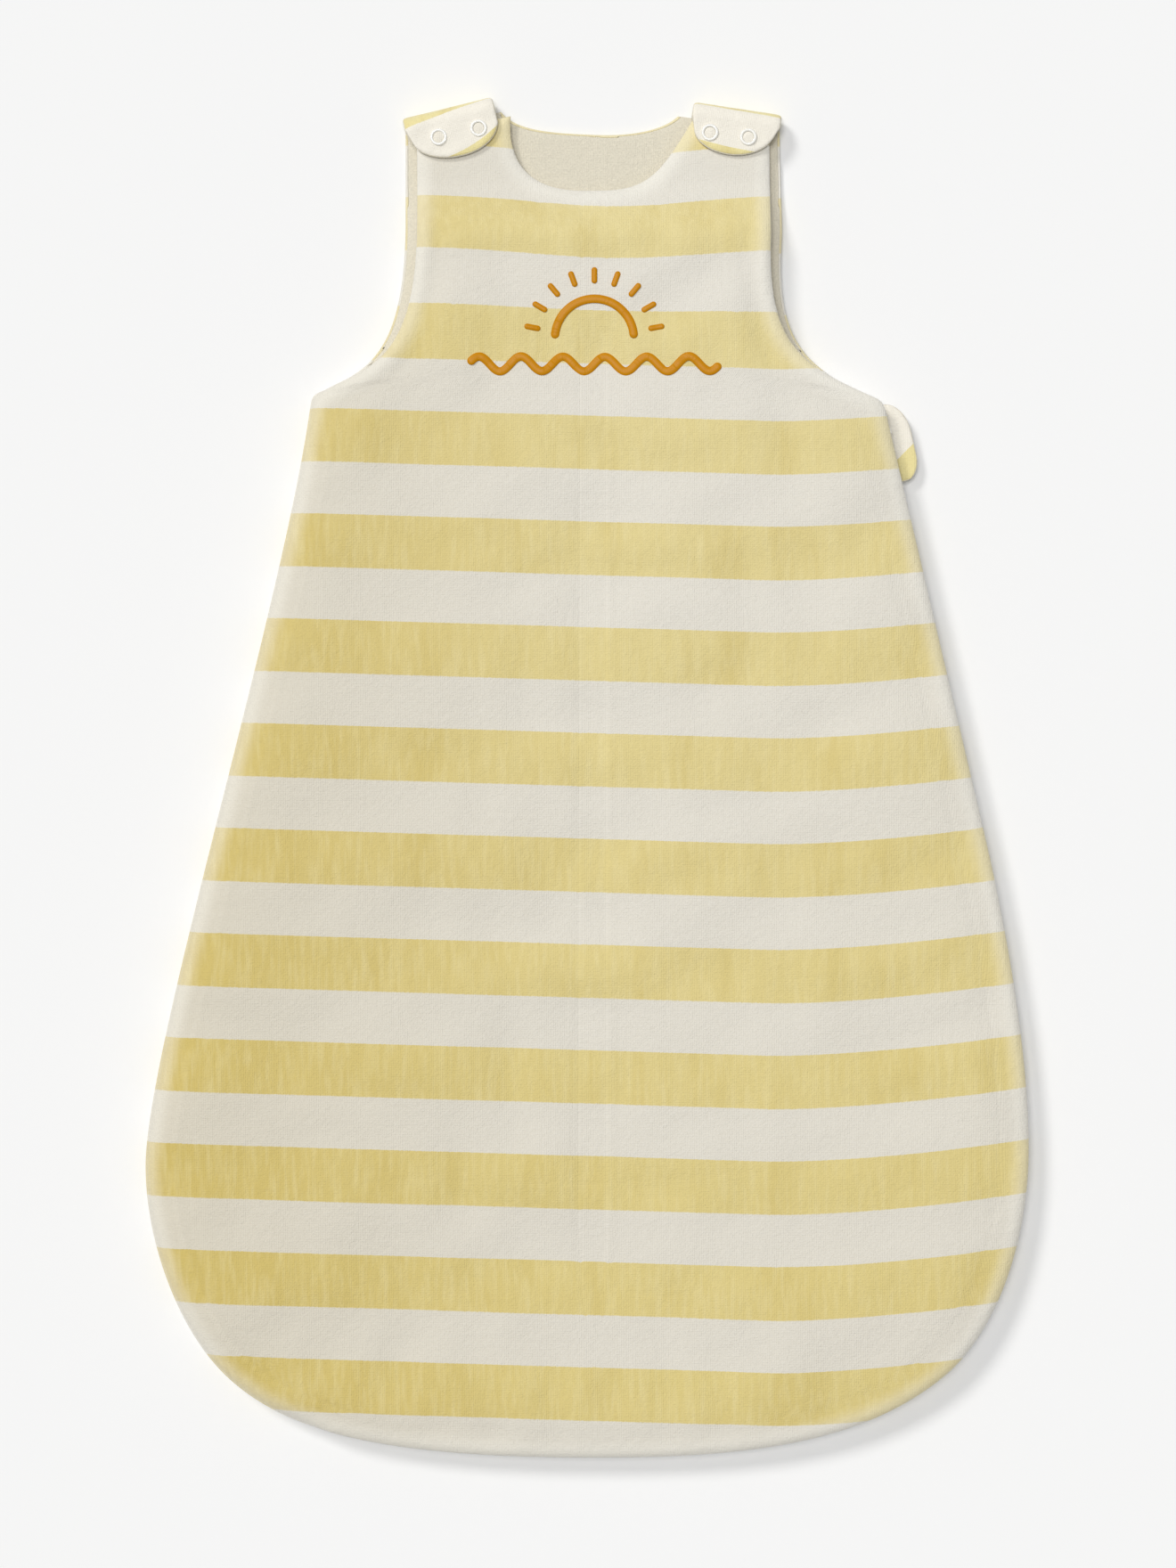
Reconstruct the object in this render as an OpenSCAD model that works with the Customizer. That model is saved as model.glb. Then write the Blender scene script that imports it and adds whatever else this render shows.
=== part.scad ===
// Baby sleeping bag, lying on its back: +Z is up from the floor, +Y runs towards the head, and the
// origin is on the floor under the middle of the bag. Left is -X, as the bag is seen from above.
// The back panel carries two shoulder tabs that fold over the front and snap onto it. A zip runs
// down the right side and round the hem, and the unzipped corner of the front folds back.

/* [Bag] */
// Width across the hips
bag_width = 486; // [470:1:500]
// Length from the hem to the shoulder folds
bag_length = 750; // [735:1:765]
// Thickness of the padded back panel
back_thick = 9; // [8:0.5:10]
// Thickness of the padded front panel
front_thick = 8; // [7:0.5:9]
// Space for the child between the two panels
cavity = 8; // [7.5:0.5:9]
// Thickness of the outer cloth and of the lining
cloth = 0.9; // [0.6:0.1:1.2]
// Width of the rounded border of the padding
border_round = 18; // [12:1:22]
// How far the padding thins at the border
border_drop = 5; // [3:0.5:5.5]

/* [Shoulders] */
// Thickness of a shoulder tab and of the back strap
tab_thick = 3.5; // [3:0.25:3.5]
// Width of a shoulder tab
tab_width = 51; // [46:1:52]
// Length of a shoulder tab from its fold to its end
tab_length = 21; // [20:1:28]
// Corner radius of a shoulder tab
tab_corner = 10; // [8:0.5:10]
// Outer radius of the fold over the shoulder
fold_radius = 8; // [7.8:0.1:8.4]
// Thickness of the front strap under the tab
front_strap_thick = 5.7; // [5:0.1:5.8]

/* [Snaps] */
// Outer diameter of a ring snap
ring_dia = 9.5; // [9:0.1:10]
// Diameter of the open centre of a ring snap
ring_hole = 6; // [5.5:0.1:6.5]
// Height of a ring above the cloth
ring_high = 1; // [0.8:0.1:1.4]
// Diameter of the stud
stud_dia = 3.2; // [3:0.1:3.4]
// Diameter of the hole in the socket
socket_bore = 5.4; // [5.2:0.1:5.6]

/* [Zip] */
// Width of one row of coil teeth
coil_width = 2; // [1.6:0.1:2.2]
// Height of one row of coil teeth
coil_high = 2.5; // [2:0.1:2.6]
// Gap between the two rows
coil_gap = 1.2; // [1.2:0.1:1.6]
// Thickness of the zip tape
tape_thick = 0.6; // [0.5:0.1:0.8]
// Length of the slider
slider_long = 11; // [9:0.5:12]
// Length of the puller
puller_long = 27; // [20:1:30]

/* [Zip guard] */
// Length of the guard along the side seam
guard_long = 44; // [36:1:46]
// How far the guard stands out from the seam
guard_wide = 12; // [10:0.5:14]
// Thickness of the guard
guard_thick = 2.4; // [2:0.1:2.6]

/* [Embroidery] */
// Radius of the sunrise arc
sun_radius = 24; // [18:1:28]
// Number of rays
sun_rays = 9; // [5:2:11]
// Width of the stitched lines
stitch_width = 3.6; // [2.5:0.1:4.5]
// Length of the wavy line
wave_long = 138; // [100:2:150]

/* [Hidden] */

// Cloth and trim colours
butter = [0.87, 0.81, 0.58];
cream = [0.88, 0.86, 0.80];
ochre = [0.78, 0.53, 0.06];
wadding_white = [0.95, 0.95, 0.93];
snap_white = [0.93, 0.92, 0.88];
zip_cream = [0.91, 0.88, 0.79];

fine = 48;            // facets on a round snap part
bore_fine = 64;       // facets on a bore
fit_gap = 0.3;        // clearance between pieces of different bodies

// Heights of the layers, from the floor up
cavity_low = back_thick;
cavity_high = back_thick + cavity;
bag_high = cavity_high + front_thick;

// The front sinks towards the back strap between these two lines across the shoulders
shoulder_start = 295;
shoulder_end = 329;
strap_back_high = tab_thick;
strap_front_high = 2 * fold_radius - tab_thick - fit_gap;
strap_front_low = strap_front_high - front_strap_thick;
strap_drop = 1;       // how far a strap thins at its border

// Outline points are given at the nominal width and length, and stretch with the bag
nominal_width = 486;
nominal_length = 750;
function at(x, y) = [x * bag_width / nominal_width, y * bag_length / nominal_length];

middle_x = 4;         // the front neckline dips a little right of the centre
hem_y = -375;
neck_front_y = 323;
neck_back_y = 355;
fan_y = -300;         // the grid fans out from here to the hem

left_underarm = at(-151.5, 209);
right_underarm = at(163, 206);
side_straight_end = at(218, -29);

// The fold line of each shoulder tab, from its lower to its higher end
left_fold = [at(-102.4, 362.8), at(-52.4, 375)];
right_fold = [at(107.8, 364.8), at(58.8, 372.2)];

function unit(v) = v / norm(v);
function side_of(fold) = unit(fold[1] - fold[0]);
// Turns a fold's direction so that it points away from the bag
function away(fold) = let (d = side_of(fold)) d[0] > 0 ? [-d[1], d[0]] : [d[1], -d[0]];
// The line that a tab turns about
function fold_axis(fold) = [for (p = fold) p - away(fold) * fold_radius];
left_axis = fold_axis(left_fold);
right_axis = fold_axis(right_fold);

left_studs = [at(-81.8, 351.8), at(-59.8, 356.7)];
right_studs = [at(88.7, 351.8), at(67.6, 354.3)];
stud_base = 0.5;
stud_base_dia = 7.6;
stud_high = 1;
socket_flange = 0.6;
socket_flange_dia = 9;
socket_barrel_dia = 7;
socket_high = 2.1;
socket_depth = 1.3;
stud_ring_high = 0.8;

// One point, and a run of points, along a cubic curve
function bezier(c, t) = let (u = 1 - t)
    u * u * u * c[0] + 3 * u * u * t * c[1] + 3 * u * t * t * c[2] + t * t * t * c[3];
function curve(c, n) = [for (i = [0:n - 1]) bezier(c, i / n)];
function line(a, b) = [a, a + (b - a) / 3, b - (b - a) / 3, b];

// The border in five stretches: hem, hip, side, armhole and strap
left_hem = [at(middle_x, hem_y), at(-119, hem_y), at(-168, -359), at(-198.5, -330.5)];
left_hip = [at(-198.5, -330.5), at(-224, -306.5), at(-243, -257.5), at(-243, -215)];
left_side = [at(-243, -215), at(-243, -151), at(-165, 101), left_underarm];
right_hem = [at(middle_x, hem_y), at(92, hem_y), at(153.5, -366.5), at(198, -329)];
right_hip = [at(198, -329), at(226, -304.5), at(243, -255), at(243, -205)];
right_curve = [at(243, -205), at(243, -150), at(229.6, -78.6), side_straight_end];

left_border_back = [left_hem, left_hip, left_side,
    [left_underarm, at(-131, 223.5), at(-102, 221), at(-100.5, 300)],
    line(at(-100.5, 300), left_axis[0])];
right_border_back = [right_hem, right_hip, right_curve,
    [right_underarm, at(124.5, 225), at(103, 234.5), at(108, 299.5)],
    line(at(108, 299.5), right_axis[0])];
left_border_front = [left_hem, left_hip, left_side,
    [left_underarm, at(-125, 223.5), at(-94.5, 222), at(-93.5, 300)],
    line(at(-93.5, 300), at(-94, 354.5))];
right_border_front = [right_hem, right_hip, right_curve,
    [right_underarm, at(118, 225), at(98, 235), at(101.3, 299.5)],
    line(at(101.3, 299.5), at(100.5, 355.6))];

left_neck_back = [at(middle_x, neck_back_y), at(-20, 356), at(-39, 357), at(-47.5, 367.6)];
right_neck_back = [at(middle_x, neck_back_y), at(22, 354), at(42, 357), at(50, 365.2)];
left_neck_front = [at(middle_x, neck_front_y), at(-30, 321), at(-44.5, 336.5), at(-42, 364.5)];
right_neck_front = [at(middle_x, neck_front_y), at(33, 322.4), at(40, 331.7), at(58, 361.8)];

// Rows across each half of a panel. The right side is part curve and part straight
hem_rows = 6;
hip_rows = 6;
side_rows = 10;
curve_rows = 5;
arm_rows = 7;
strap_rows = 8;
neck_row = hem_rows + hip_rows + side_rows + arm_rows;
rows = neck_row + strap_rows;

function border_points(b, straight) = concat(
    curve(b[0], hem_rows), curve(b[1], hip_rows),
    straight ? concat(curve(b[2], curve_rows),
                      curve(line(side_straight_end, right_underarm), side_rows - curve_rows))
             : curve(b[2], side_rows),
    curve(b[3], arm_rows), curve(b[4], strap_rows), [b[4][3]]);

function middle_points(neck) = let (m = neck[0]) concat(
    curve(line(at(middle_x, fan_y), at(middle_x, -225)), hem_rows + hip_rows),
    curve(line(at(middle_x, -225), at(middle_x, 225)), side_rows),
    curve(line(at(middle_x, 225), m), arm_rows), curve(neck, strap_rows), [neck[3]]);

// Points across a row: close together at the rounded borders, one in the middle
outer_steps = [0, 2.5, 8, border_round];
inner_steps = [5, 0];
columns = len(outer_steps) + 1 + len(inner_steps);
function across(a, b) = let (long = norm(b - a), d = (b - a) / long) concat(
    [for (s = outer_steps) a + d * s],
    [a + d * (long + outer_steps[3] - inner_steps[0]) / 2],
    [for (s = inner_steps) b - d * s]);

// How far the shoulders have sunk, from 0 on the chest to 1 at the straps
function sunk(y) = let (t = max(0, min(1, (y - shoulder_start) / (shoulder_end - shoulder_start))))
    t * t * (3 - 2 * t);
function mix(a, b, t) = a + (b - a) * t;
// How much of the border's drop a point takes, from 1 at the very edge to 0
function edge(d, w) = d >= w ? 0 : 1 - sqrt(1 - pow(1 - d / w, 2));

// The height of each layer face, where s is how far the shoulder has sunk and e the edge's share
function back_outer(s, e) = mix(border_drop, strap_drop, s) * e;
function back_inner(s, e) = mix(cavity_low, strap_back_high, s);
function front_inner(s, e) = mix(cavity_high, strap_front_low, s);
function front_outer(s, e) = mix(bag_high, strap_front_high, s) - mix(border_drop, strap_drop, s) * e;
function face_height(face, s, e) =
    face == "back outside" ? back_outer(s, e) :
    face == "back shell" ? back_outer(s, e) + cloth :
    face == "back lining" ? back_inner(s, e) - cloth :
    face == "back inside" ? back_inner(s, e) :
    face == "front inside" ? front_inner(s, e) :
    face == "front lining" ? front_inner(s, e) + cloth :
    face == "front shell" ? front_outer(s, e) - cloth :
    front_outer(s, e);

// One layer of a padded panel, between two faces
module layer(borders, necks, low, high) {
    halves = [for (h = [0, 1])
        let (outer = border_points(borders[h], h == 1), inner = middle_points(necks[h]))
        [for (k = [0:rows]) across(outer[k], inner[k])]];
    function share(h, k, c) = let (
        row = halves[h][k], p = row[c],
        outer = edge(norm(p - row[0]), mix(border_round, outer_steps[2], sunk(p[1]))),
        inner = k < neck_row ? 0 : edge(norm(p - row[columns - 1]), inner_steps[0]))
        max(outer, inner);
    points = [for (face = [low, high], h = [0, 1], k = [0:rows], c = [0:columns - 1])
        let (p = halves[h][k][c]) [p[0], p[1], face_height(face, sunk(p[1]), share(h, k, c))]];
    // The halves share the row up from the hem and the middle column up to the neckline
    function id(f, h, k, c) = let (
        own = h == 1 && (k == 0 || (c == columns - 1 && k <= neck_row)) ? 0 : h)
        ((f * 2 + own) * (rows + 1) + k) * columns + c;
    function turned(h, t) = h == 1 ? t : [for (i = [len(t) - 1:-1:0]) t[i]];
    skins = [for (h = [0, 1], k = [0:rows - 1], c = [0:columns - 2], f = [0, 1]) let (
        a = id(f, h, k, c), b = id(f, h, k, c + 1),
        m = id(f, h, k + 1, c + 1), d = id(f, h, k + 1, c), g = f == 1 ? h : 1 - h)
        each [turned(g, [a, b, d]), turned(g, [b, m, d])]];
    walls = [for (h = [0, 1]) each concat(
        [for (k = [0:rows - 1])
            turned(h, [id(0, h, k, 0), id(1, h, k, 0), id(1, h, k + 1, 0), id(0, h, k + 1, 0)])],
        [for (k = [neck_row:rows - 1]) let (c = columns - 1)
            turned(h, [id(1, h, k + 1, c), id(1, h, k, c), id(0, h, k, c), id(0, h, k + 1, c)])],
        [for (c = [0:columns - 2])
            turned(h, [id(1, h, rows, c), id(1, h, rows, c + 1),
                       id(0, h, rows, c + 1), id(0, h, rows, c)])])];
    polyhedron(points, concat(skins, walls), convexity = 6);
}

module back_layer(low, high)
    layer([left_border_back, right_border_back], [left_neck_back, right_neck_back], low, high);
module front_layer(low, high)
    layer([left_border_front, right_border_front], [left_neck_front, right_neck_front], low, high);

module back_shell() { color(butter) back_layer("back outside", "back shell"); }
module back_wadding() { color(wadding_white) back_layer("back shell", "back lining"); }
module back_lining() { color(cream) back_layer("back lining", "back inside"); }

// The front folds open along a straight crease from the right side to the left of the hem
crease_top = at(172, 150);
crease_low = at(-150, -358);
crease_angle = atan2(crease_low[1] - crease_top[1], crease_low[0] - crease_top[0]);
crease_gap = 0.3;
module flap_side() {
    big = 1000;
    translate([crease_top[0], crease_top[1], 0]) rotate(crease_angle)
        translate([-big / 2, crease_gap / 2, 0]) cube([2 * big, big, 2 * bag_high]);
}
module chest_side() {
    big = 1000;
    translate([crease_top[0], crease_top[1], 0]) rotate(crease_angle)
        translate([-big, -big - crease_gap / 2, 0]) cube([3 * big, big, 2 * bag_high]);
}

module front_shell_chest() {
    color(butter) difference() {
        intersection() { front_layer("front shell", "front outside"); chest_side(); }
        for (p = concat(left_studs, right_studs)) translate([p[0], p[1], strap_front_high - stud_base])
            cylinder(d = stud_base_dia, h = 2 * stud_base, $fn = fine);
    }
}
module front_wadding_chest() {
    color(wadding_white) intersection() { front_layer("front lining", "front shell"); chest_side(); }
}
module front_lining_chest() {
    color(cream) intersection() { front_layer("front inside", "front lining"); chest_side(); }
}
module front_shell_flap() {
    color(butter) intersection() { front_layer("front shell", "front outside"); flap_side(); }
}
module front_wadding_flap() {
    color(wadding_white) intersection() { front_layer("front lining", "front shell"); flap_side(); }
}
module front_lining_flap() {
    color(cream) intersection() { front_layer("front inside", "front lining"); flap_side(); }
}

// The closed side and the hem up to the end of the zip, where the allowances of both panels meet
seam_inset = 0.5;
seam_wide = 3.5;
hem_share = 0.6;      // how far along the left hem curve the zip ends
seam_share = 0.63;    // where the seam starts, past the zip's bottom stop
left_path = [for (i = [0:30]) i < 10 ? bezier(left_side, 1 - i / 10) :
    i < 20 ? bezier(left_hip, 2 - i / 10) : bezier(left_hem, 1 - (1 - seam_share) * (i - 20) / 10)];

// Points set in from a path by a distance, with the bag's inside on the given side
function inset_path(path, inset, inside) = [for (i = [0:len(path) - 1]) let (
    t = unit(path[min(i + 1, len(path) - 1)] - path[max(i - 1, 0)]))
    path[i] + inside * inset * [-t[1], t[0]]];
module band(path, from, to, inside) {
    n = len(path);
    polygon(concat(inset_path(path, from, inside), inset_path(path, to, inside)),
            [concat([for (i = [0:n - 1]) i], [for (i = [2 * n - 1:-1:n]) i])]);
}

module left_side_seam() {
    color(cream) translate([0, 0, cavity_low]) linear_extrude(cavity)
        band(left_path, seam_inset, seam_inset + seam_wide, 1);
}

// Shoulder tabs and their snaps. Each stud's base sits in a pocket in the front strap

tab_low = 2 * fold_radius - tab_thick;
tab_lining_thick = tab_thick * 0.7;
tab_high = 2 * fold_radius;

// Places its children at the fold's axis, with X along the fold and +Y away from the bag
module at_fold(axis) {
    d = unit(axis[1] - axis[0]);
    flip = d[0] > 0 ? 1 : -1;
    middle = (axis[0] + axis[1]) / 2;
    translate([middle[0], middle[1], 0]) rotate(atan2(d[1] * flip, d[0] * flip)) children();
}
module tab_outline() {
    hull() {
        translate([-tab_width / 2, -0.01]) square([tab_width, 0.01]);
        for (s = [-1, 1]) translate([s * (tab_width / 2 - tab_corner), -tab_length + tab_corner])
            circle(tab_corner, $fn = fine);
    }
}
module at_each(points, z) { for (p = points) translate([p[0], p[1], z]) children(); }

module tab_shell(axis) {
    color(butter) at_fold(axis) translate([0, 0, tab_low + tab_lining_thick])
        linear_extrude(tab_thick - tab_lining_thick) tab_outline();
}
module tab_lining(axis, studs) {
    color(cream) difference() {
        at_fold(axis) translate([0, 0, tab_low]) linear_extrude(tab_lining_thick) tab_outline();
        at_each(studs, tab_low - 1) {
            cylinder(d = socket_flange_dia, h = 1 + socket_flange, $fn = bore_fine);
            cylinder(d = socket_barrel_dia, h = 1 + socket_high, $fn = bore_fine);
        }
    }
}
// A half ring of cloth that carries the back strap over into the tab
module shoulder_fold(axis) {
    color(butter) at_fold(axis) translate([0, 0, fold_radius]) rotate([90, 0, 90])
        intersection() {
            difference() {
                cylinder(r = fold_radius, h = tab_width, center = true, $fn = bore_fine);
                cylinder(r = fold_radius - tab_thick, h = tab_width + 2, center = true, $fn = bore_fine);
            }
            translate([0, -fold_radius, -tab_width / 2]) cube([fold_radius, 2 * fold_radius, tab_width]);
        }
}
module snap_rings(studs) {
    color(snap_white) at_each(studs, tab_high) rotate_extrude($fn = bore_fine)
        snap_ring_section(ring_high);
}
// A ring with a flat foot and a rounded crown
module snap_ring_section(high) {
    wide = (ring_dia - ring_hole) / 2;
    foot = high / 3;
    translate([ring_hole / 2, 0]) union() {
        square([wide, foot]);
        translate([wide / 2, foot]) intersection() {
            resize([wide, 2 * (high - foot)]) circle(d = wide, $fn = fine);
            translate([-wide, 0]) square([2 * wide, high]);
        }
    }
}
module snap_sockets(studs) {
    color(snap_white) at_each(studs, tab_low) difference() {
        union() {
            cylinder(d = socket_flange_dia, h = socket_flange, $fn = bore_fine);
            cylinder(d = socket_barrel_dia, h = socket_high, $fn = bore_fine);
        }
        translate([0, 0, -1]) cylinder(d = socket_bore, h = 1 + socket_depth, $fn = bore_fine);
    }
}
module strap_studs(studs) {
    color(snap_white) at_each(studs, strap_front_high - stud_base) {
        cylinder(d = stud_base_dia, h = stud_base, $fn = bore_fine);
        cylinder(d = stud_dia, h = stud_base + stud_high, $fn = bore_fine);
    }
}
module strap_stud_rings(studs) {
    color(snap_white) at_each(studs, strap_front_low) mirror([0, 0, 1])
        rotate_extrude($fn = bore_fine) snap_ring_section(stud_ring_high);
}

module left_shoulder_fold() { shoulder_fold(left_axis); }
module left_tab_shell() { tab_shell(left_axis); }
module left_tab_lining() { tab_lining(left_axis, left_studs); }
module left_tab_snap_rings() { snap_rings(left_studs); }
module left_tab_snap_sockets() { snap_sockets(left_studs); }
module left_strap_studs() { strap_studs(left_studs); }
module left_strap_stud_rings() { strap_stud_rings(left_studs); }
module right_shoulder_fold() { shoulder_fold(right_axis); }
module right_tab_shell() { tab_shell(right_axis); }
module right_tab_lining() { tab_lining(right_axis, right_studs); }
module right_tab_snap_rings() { snap_rings(right_studs); }
module right_tab_snap_sockets() { snap_sockets(right_studs); }
module right_strap_studs() { strap_studs(right_studs); }
module right_strap_stud_rings() { strap_stud_rings(right_studs); }

// Zip: its path runs from the right underarm down the side, round the hip and along the hem
side_angle = atan2(side_straight_end[1] - right_underarm[1], side_straight_end[0] - right_underarm[0]);
side_run = unit(side_straight_end - right_underarm);
zip_start = 11;       // how far below the underarm the coils start
zip_path = concat(
    [right_underarm + side_run * zip_start],
    [for (i = [0:8]) bezier(right_curve, 1 - i / 8)],
    [for (i = [1:8]) bezier(right_hip, 1 - i / 8)],
    [for (i = [1:10]) bezier(right_hem, 1 - i / 10)],
    [for (i = [1:8]) bezier(left_hem, hem_share * i / 8)]);
coil_inset = 3.7;
tape_inset = coil_inset + coil_width;
coil_middle = (cavity_low + cavity_high) / 2;
coil_back_high = coil_middle - coil_gap / 2;
coil_front_low = coil_middle + coil_gap / 2;

module zip_band(from, wide, low, high)
    translate([0, 0, low]) linear_extrude(high - low) band(zip_path, from, from + wide, -1);
module front_coil() zip_band(coil_inset, coil_width, coil_front_low, coil_front_low + coil_high);
module front_tape() zip_band(tape_inset, tape_thick, coil_front_low, cavity_high);

module zip_coil_back() {
    color(zip_cream) zip_band(coil_inset, coil_width, coil_back_high - coil_high, coil_back_high);
}
module zip_tape_back() { color(zip_cream) zip_band(tape_inset, tape_thick, cavity_low, coil_back_high); }
module zip_coil_front() { color(zip_cream) intersection() { front_coil(); flap_side(); } }
module zip_tape_front() { color(zip_cream) intersection() { front_tape(); flap_side(); } }
module zip_coil_front_top() { color(zip_cream) intersection() { front_coil(); top_part(); } }
module zip_tape_front_top() { color(zip_cream) intersection() { front_tape(); top_part(); } }
// The part of the front's zip that stays with the chest, above the crease
module top_part() {
    intersection() {
        chest_side();
        cube([bag_width, bag_length, 2 * bag_high]);
    }
}

// Places its children at the top of the side: X outwards, +Y up along the seam
module at_side(down) {
    p = right_underarm + side_run * down;
    translate([p[0], p[1], 0]) rotate(side_angle + 90) children();
}
stop_long = 2.5;
stop_clear = 0.3;     // keeps the bottom stop off the ends of the coils
module zip_top_stops() {
    color(zip_cream) at_side(zip_start) for (z = [coil_back_high - coil_high, coil_front_low])
        translate([-tape_inset, 0, z]) cube([coil_width, stop_long, coil_high]);
}
module zip_bottom_stop() {
    end = bezier(left_hem, hem_share);
    run = unit(bezier(left_hem, hem_share) - bezier(left_hem, hem_share - 0.01));
    color(zip_cream) translate([end[0], end[1], coil_back_high - coil_high])
        rotate(atan2(run[1], run[0])) translate([stop_clear, -tape_inset - tape_thick, 0])
            cube([stop_long, tape_thick + coil_width, 2 * coil_high + coil_gap]);
}

// Slider: an outer and an inner plate joined by a web that runs between the coils
plate_outer = [1.9, 3.4];
plate_inner = [6.6, 7.8];
slider_margin = 0.3;
web_high = 0.6;
slider_down = 20.5;   // the slider's middle below the underarm when the zip is closed
lug_wide = 3;
lug_out = 2.6;
ear_high = 1.2;
pin_dia = 1.2;
pin_out = 1.4;
pin_play = 0.1;
module zip_slider() {
    low = cavity_low + slider_margin;
    high = cavity_high - slider_margin;
    color(snap_white) at_side(slider_down) {
        translate([-plate_outer[1], -slider_long / 2, low])
            cube([plate_outer[1] - plate_outer[0], slider_long, high - low]);
        translate([-plate_inner[1], -slider_long / 2, low])
            cube([plate_inner[1] - plate_inner[0], slider_long, high - low]);
        translate([-plate_inner[0], -slider_long / 4, coil_middle - web_high / 2])
            cube([plate_inner[0] - plate_outer[1], slider_long / 2, web_high]);
        // The lug's two ears hold the puller's pin
        for (z = [low, high - ear_high]) translate([-plate_outer[0], slider_long / 2 - lug_wide, z])
            difference() {
                cube([lug_out, lug_wide, ear_high]);
                translate([pin_out, lug_wide / 2, -1])
                    cylinder(d = pin_dia + 2 * pin_play, h = ear_high + 2, $fn = bore_fine);
            }
    }
}
puller_thick = 1.4;
puller_high = 4.4;
puller_play = 0.2;    // clearance between the puller's eye and each ear
module zip_puller() {
    low = cavity_low + slider_margin;
    high = cavity_high - slider_margin;
    inner_low = low + ear_high + puller_play;
    inner_high = high - ear_high - puller_play;
    color(snap_white) at_side(slider_down)
        translate([pin_out - plate_outer[0], slider_long / 2 - lug_wide / 2, 0]) {
            translate([0, 0, low]) cylinder(d = pin_dia, h = high - low, $fn = bore_fine);
            translate([0, 0, inner_low]) cylinder(d = puller_thick, h = inner_high - inner_low, $fn = fine);
            difference() {
                translate([-puller_thick / 2, -puller_long, coil_middle - puller_high / 2])
                    cube([puller_thick, puller_long, puller_high]);
                translate([-puller_thick, -puller_long + puller_high / 2 + 1, coil_middle])
                    rotate([0, 90, 0]) cylinder(d = 2.4, h = 2 * puller_thick, $fn = fine);
            }
        }
}

// Zip guard: a small cloth tab that stands out beside the top of the zip
guard_root = 3;       // width that stays sewn to the seam
guard_top = back_thick - 0.2;
guard_down = 1;       // where the guard starts below the underarm
guard_corner = 5;
module guard_body(from, to) {
    at_side(guard_down) translate([0, -guard_long, guard_top - guard_thick])
        linear_extrude(guard_thick) intersection() {
            translate([from, 0]) square([to - from, guard_long]);
            hull() {
                square([1, guard_long]);
                translate([guard_wide - guard_corner, guard_corner]) circle(guard_corner, $fn = fine);
                translate([guard_wide - 2 * guard_corner, guard_long - 2 * guard_corner])
                    circle(2 * guard_corner, $fn = fine);
            }
        }
}
module zip_guard_base() { color(cream) guard_body(0.1, guard_root); }
module zip_guard_flap() { color(butter) guard_body(guard_root, guard_wide); }

// Embroidery on the chest: a plain half sun over a plain wave, both in satin stitch
stitch_high = 0.4;
sun_at = at(4, 240);
ray_gap = 6;
ray_long = 10;
wave_at = at(4, 226);
wave_count = 6;
wave_swing = 4;
module sun_embroidery() {
    color(ochre) translate([sun_at[0], sun_at[1], bag_high]) linear_extrude(stitch_high) {
        intersection() {
            difference() { circle(sun_radius, $fn = 72); circle(sun_radius - stitch_width, $fn = 72); }
            translate([-sun_radius, 0]) square([2 * sun_radius, sun_radius]);
        }
        for (i = [0:sun_rays - 1]) rotate(180 * (i + 0.5) / sun_rays)
            translate([sun_radius + ray_gap, -stitch_width / 4]) square([ray_long, stitch_width / 2]);
    }
}
module wave_embroidery() {
    steps = 72;
    function wave(x, side) = [x, wave_swing * sin(360 * wave_count * x / wave_long) + side * stitch_width / 2];
    xs = [for (i = [0:steps]) wave_long * (i / steps - 0.5)];
    color(ochre) translate([wave_at[0], wave_at[1], bag_high]) linear_extrude(stitch_high)
        polygon(concat([for (x = xs) wave(x, -1)], [for (i = [steps:-1:0]) wave(xs[i], 1)]));
}

back_shell();
back_wadding();
back_lining();
front_shell_chest();
front_wadding_chest();
front_lining_chest();
front_shell_flap();
front_wadding_flap();
front_lining_flap();
left_side_seam();
left_shoulder_fold();
left_tab_shell();
left_tab_lining();
left_tab_snap_rings();
left_tab_snap_sockets();
left_strap_studs();
left_strap_stud_rings();
right_shoulder_fold();
right_tab_shell();
right_tab_lining();
right_tab_snap_rings();
right_tab_snap_sockets();
right_strap_studs();
right_strap_stud_rings();
zip_tape_back();
zip_coil_back();
zip_tape_front();
zip_coil_front();
zip_tape_front_top();
zip_coil_front_top();
zip_top_stops();
zip_bottom_stop();
zip_slider();
zip_puller();
zip_guard_base();
zip_guard_flap();
sun_embroidery();
wave_embroidery();
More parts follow.
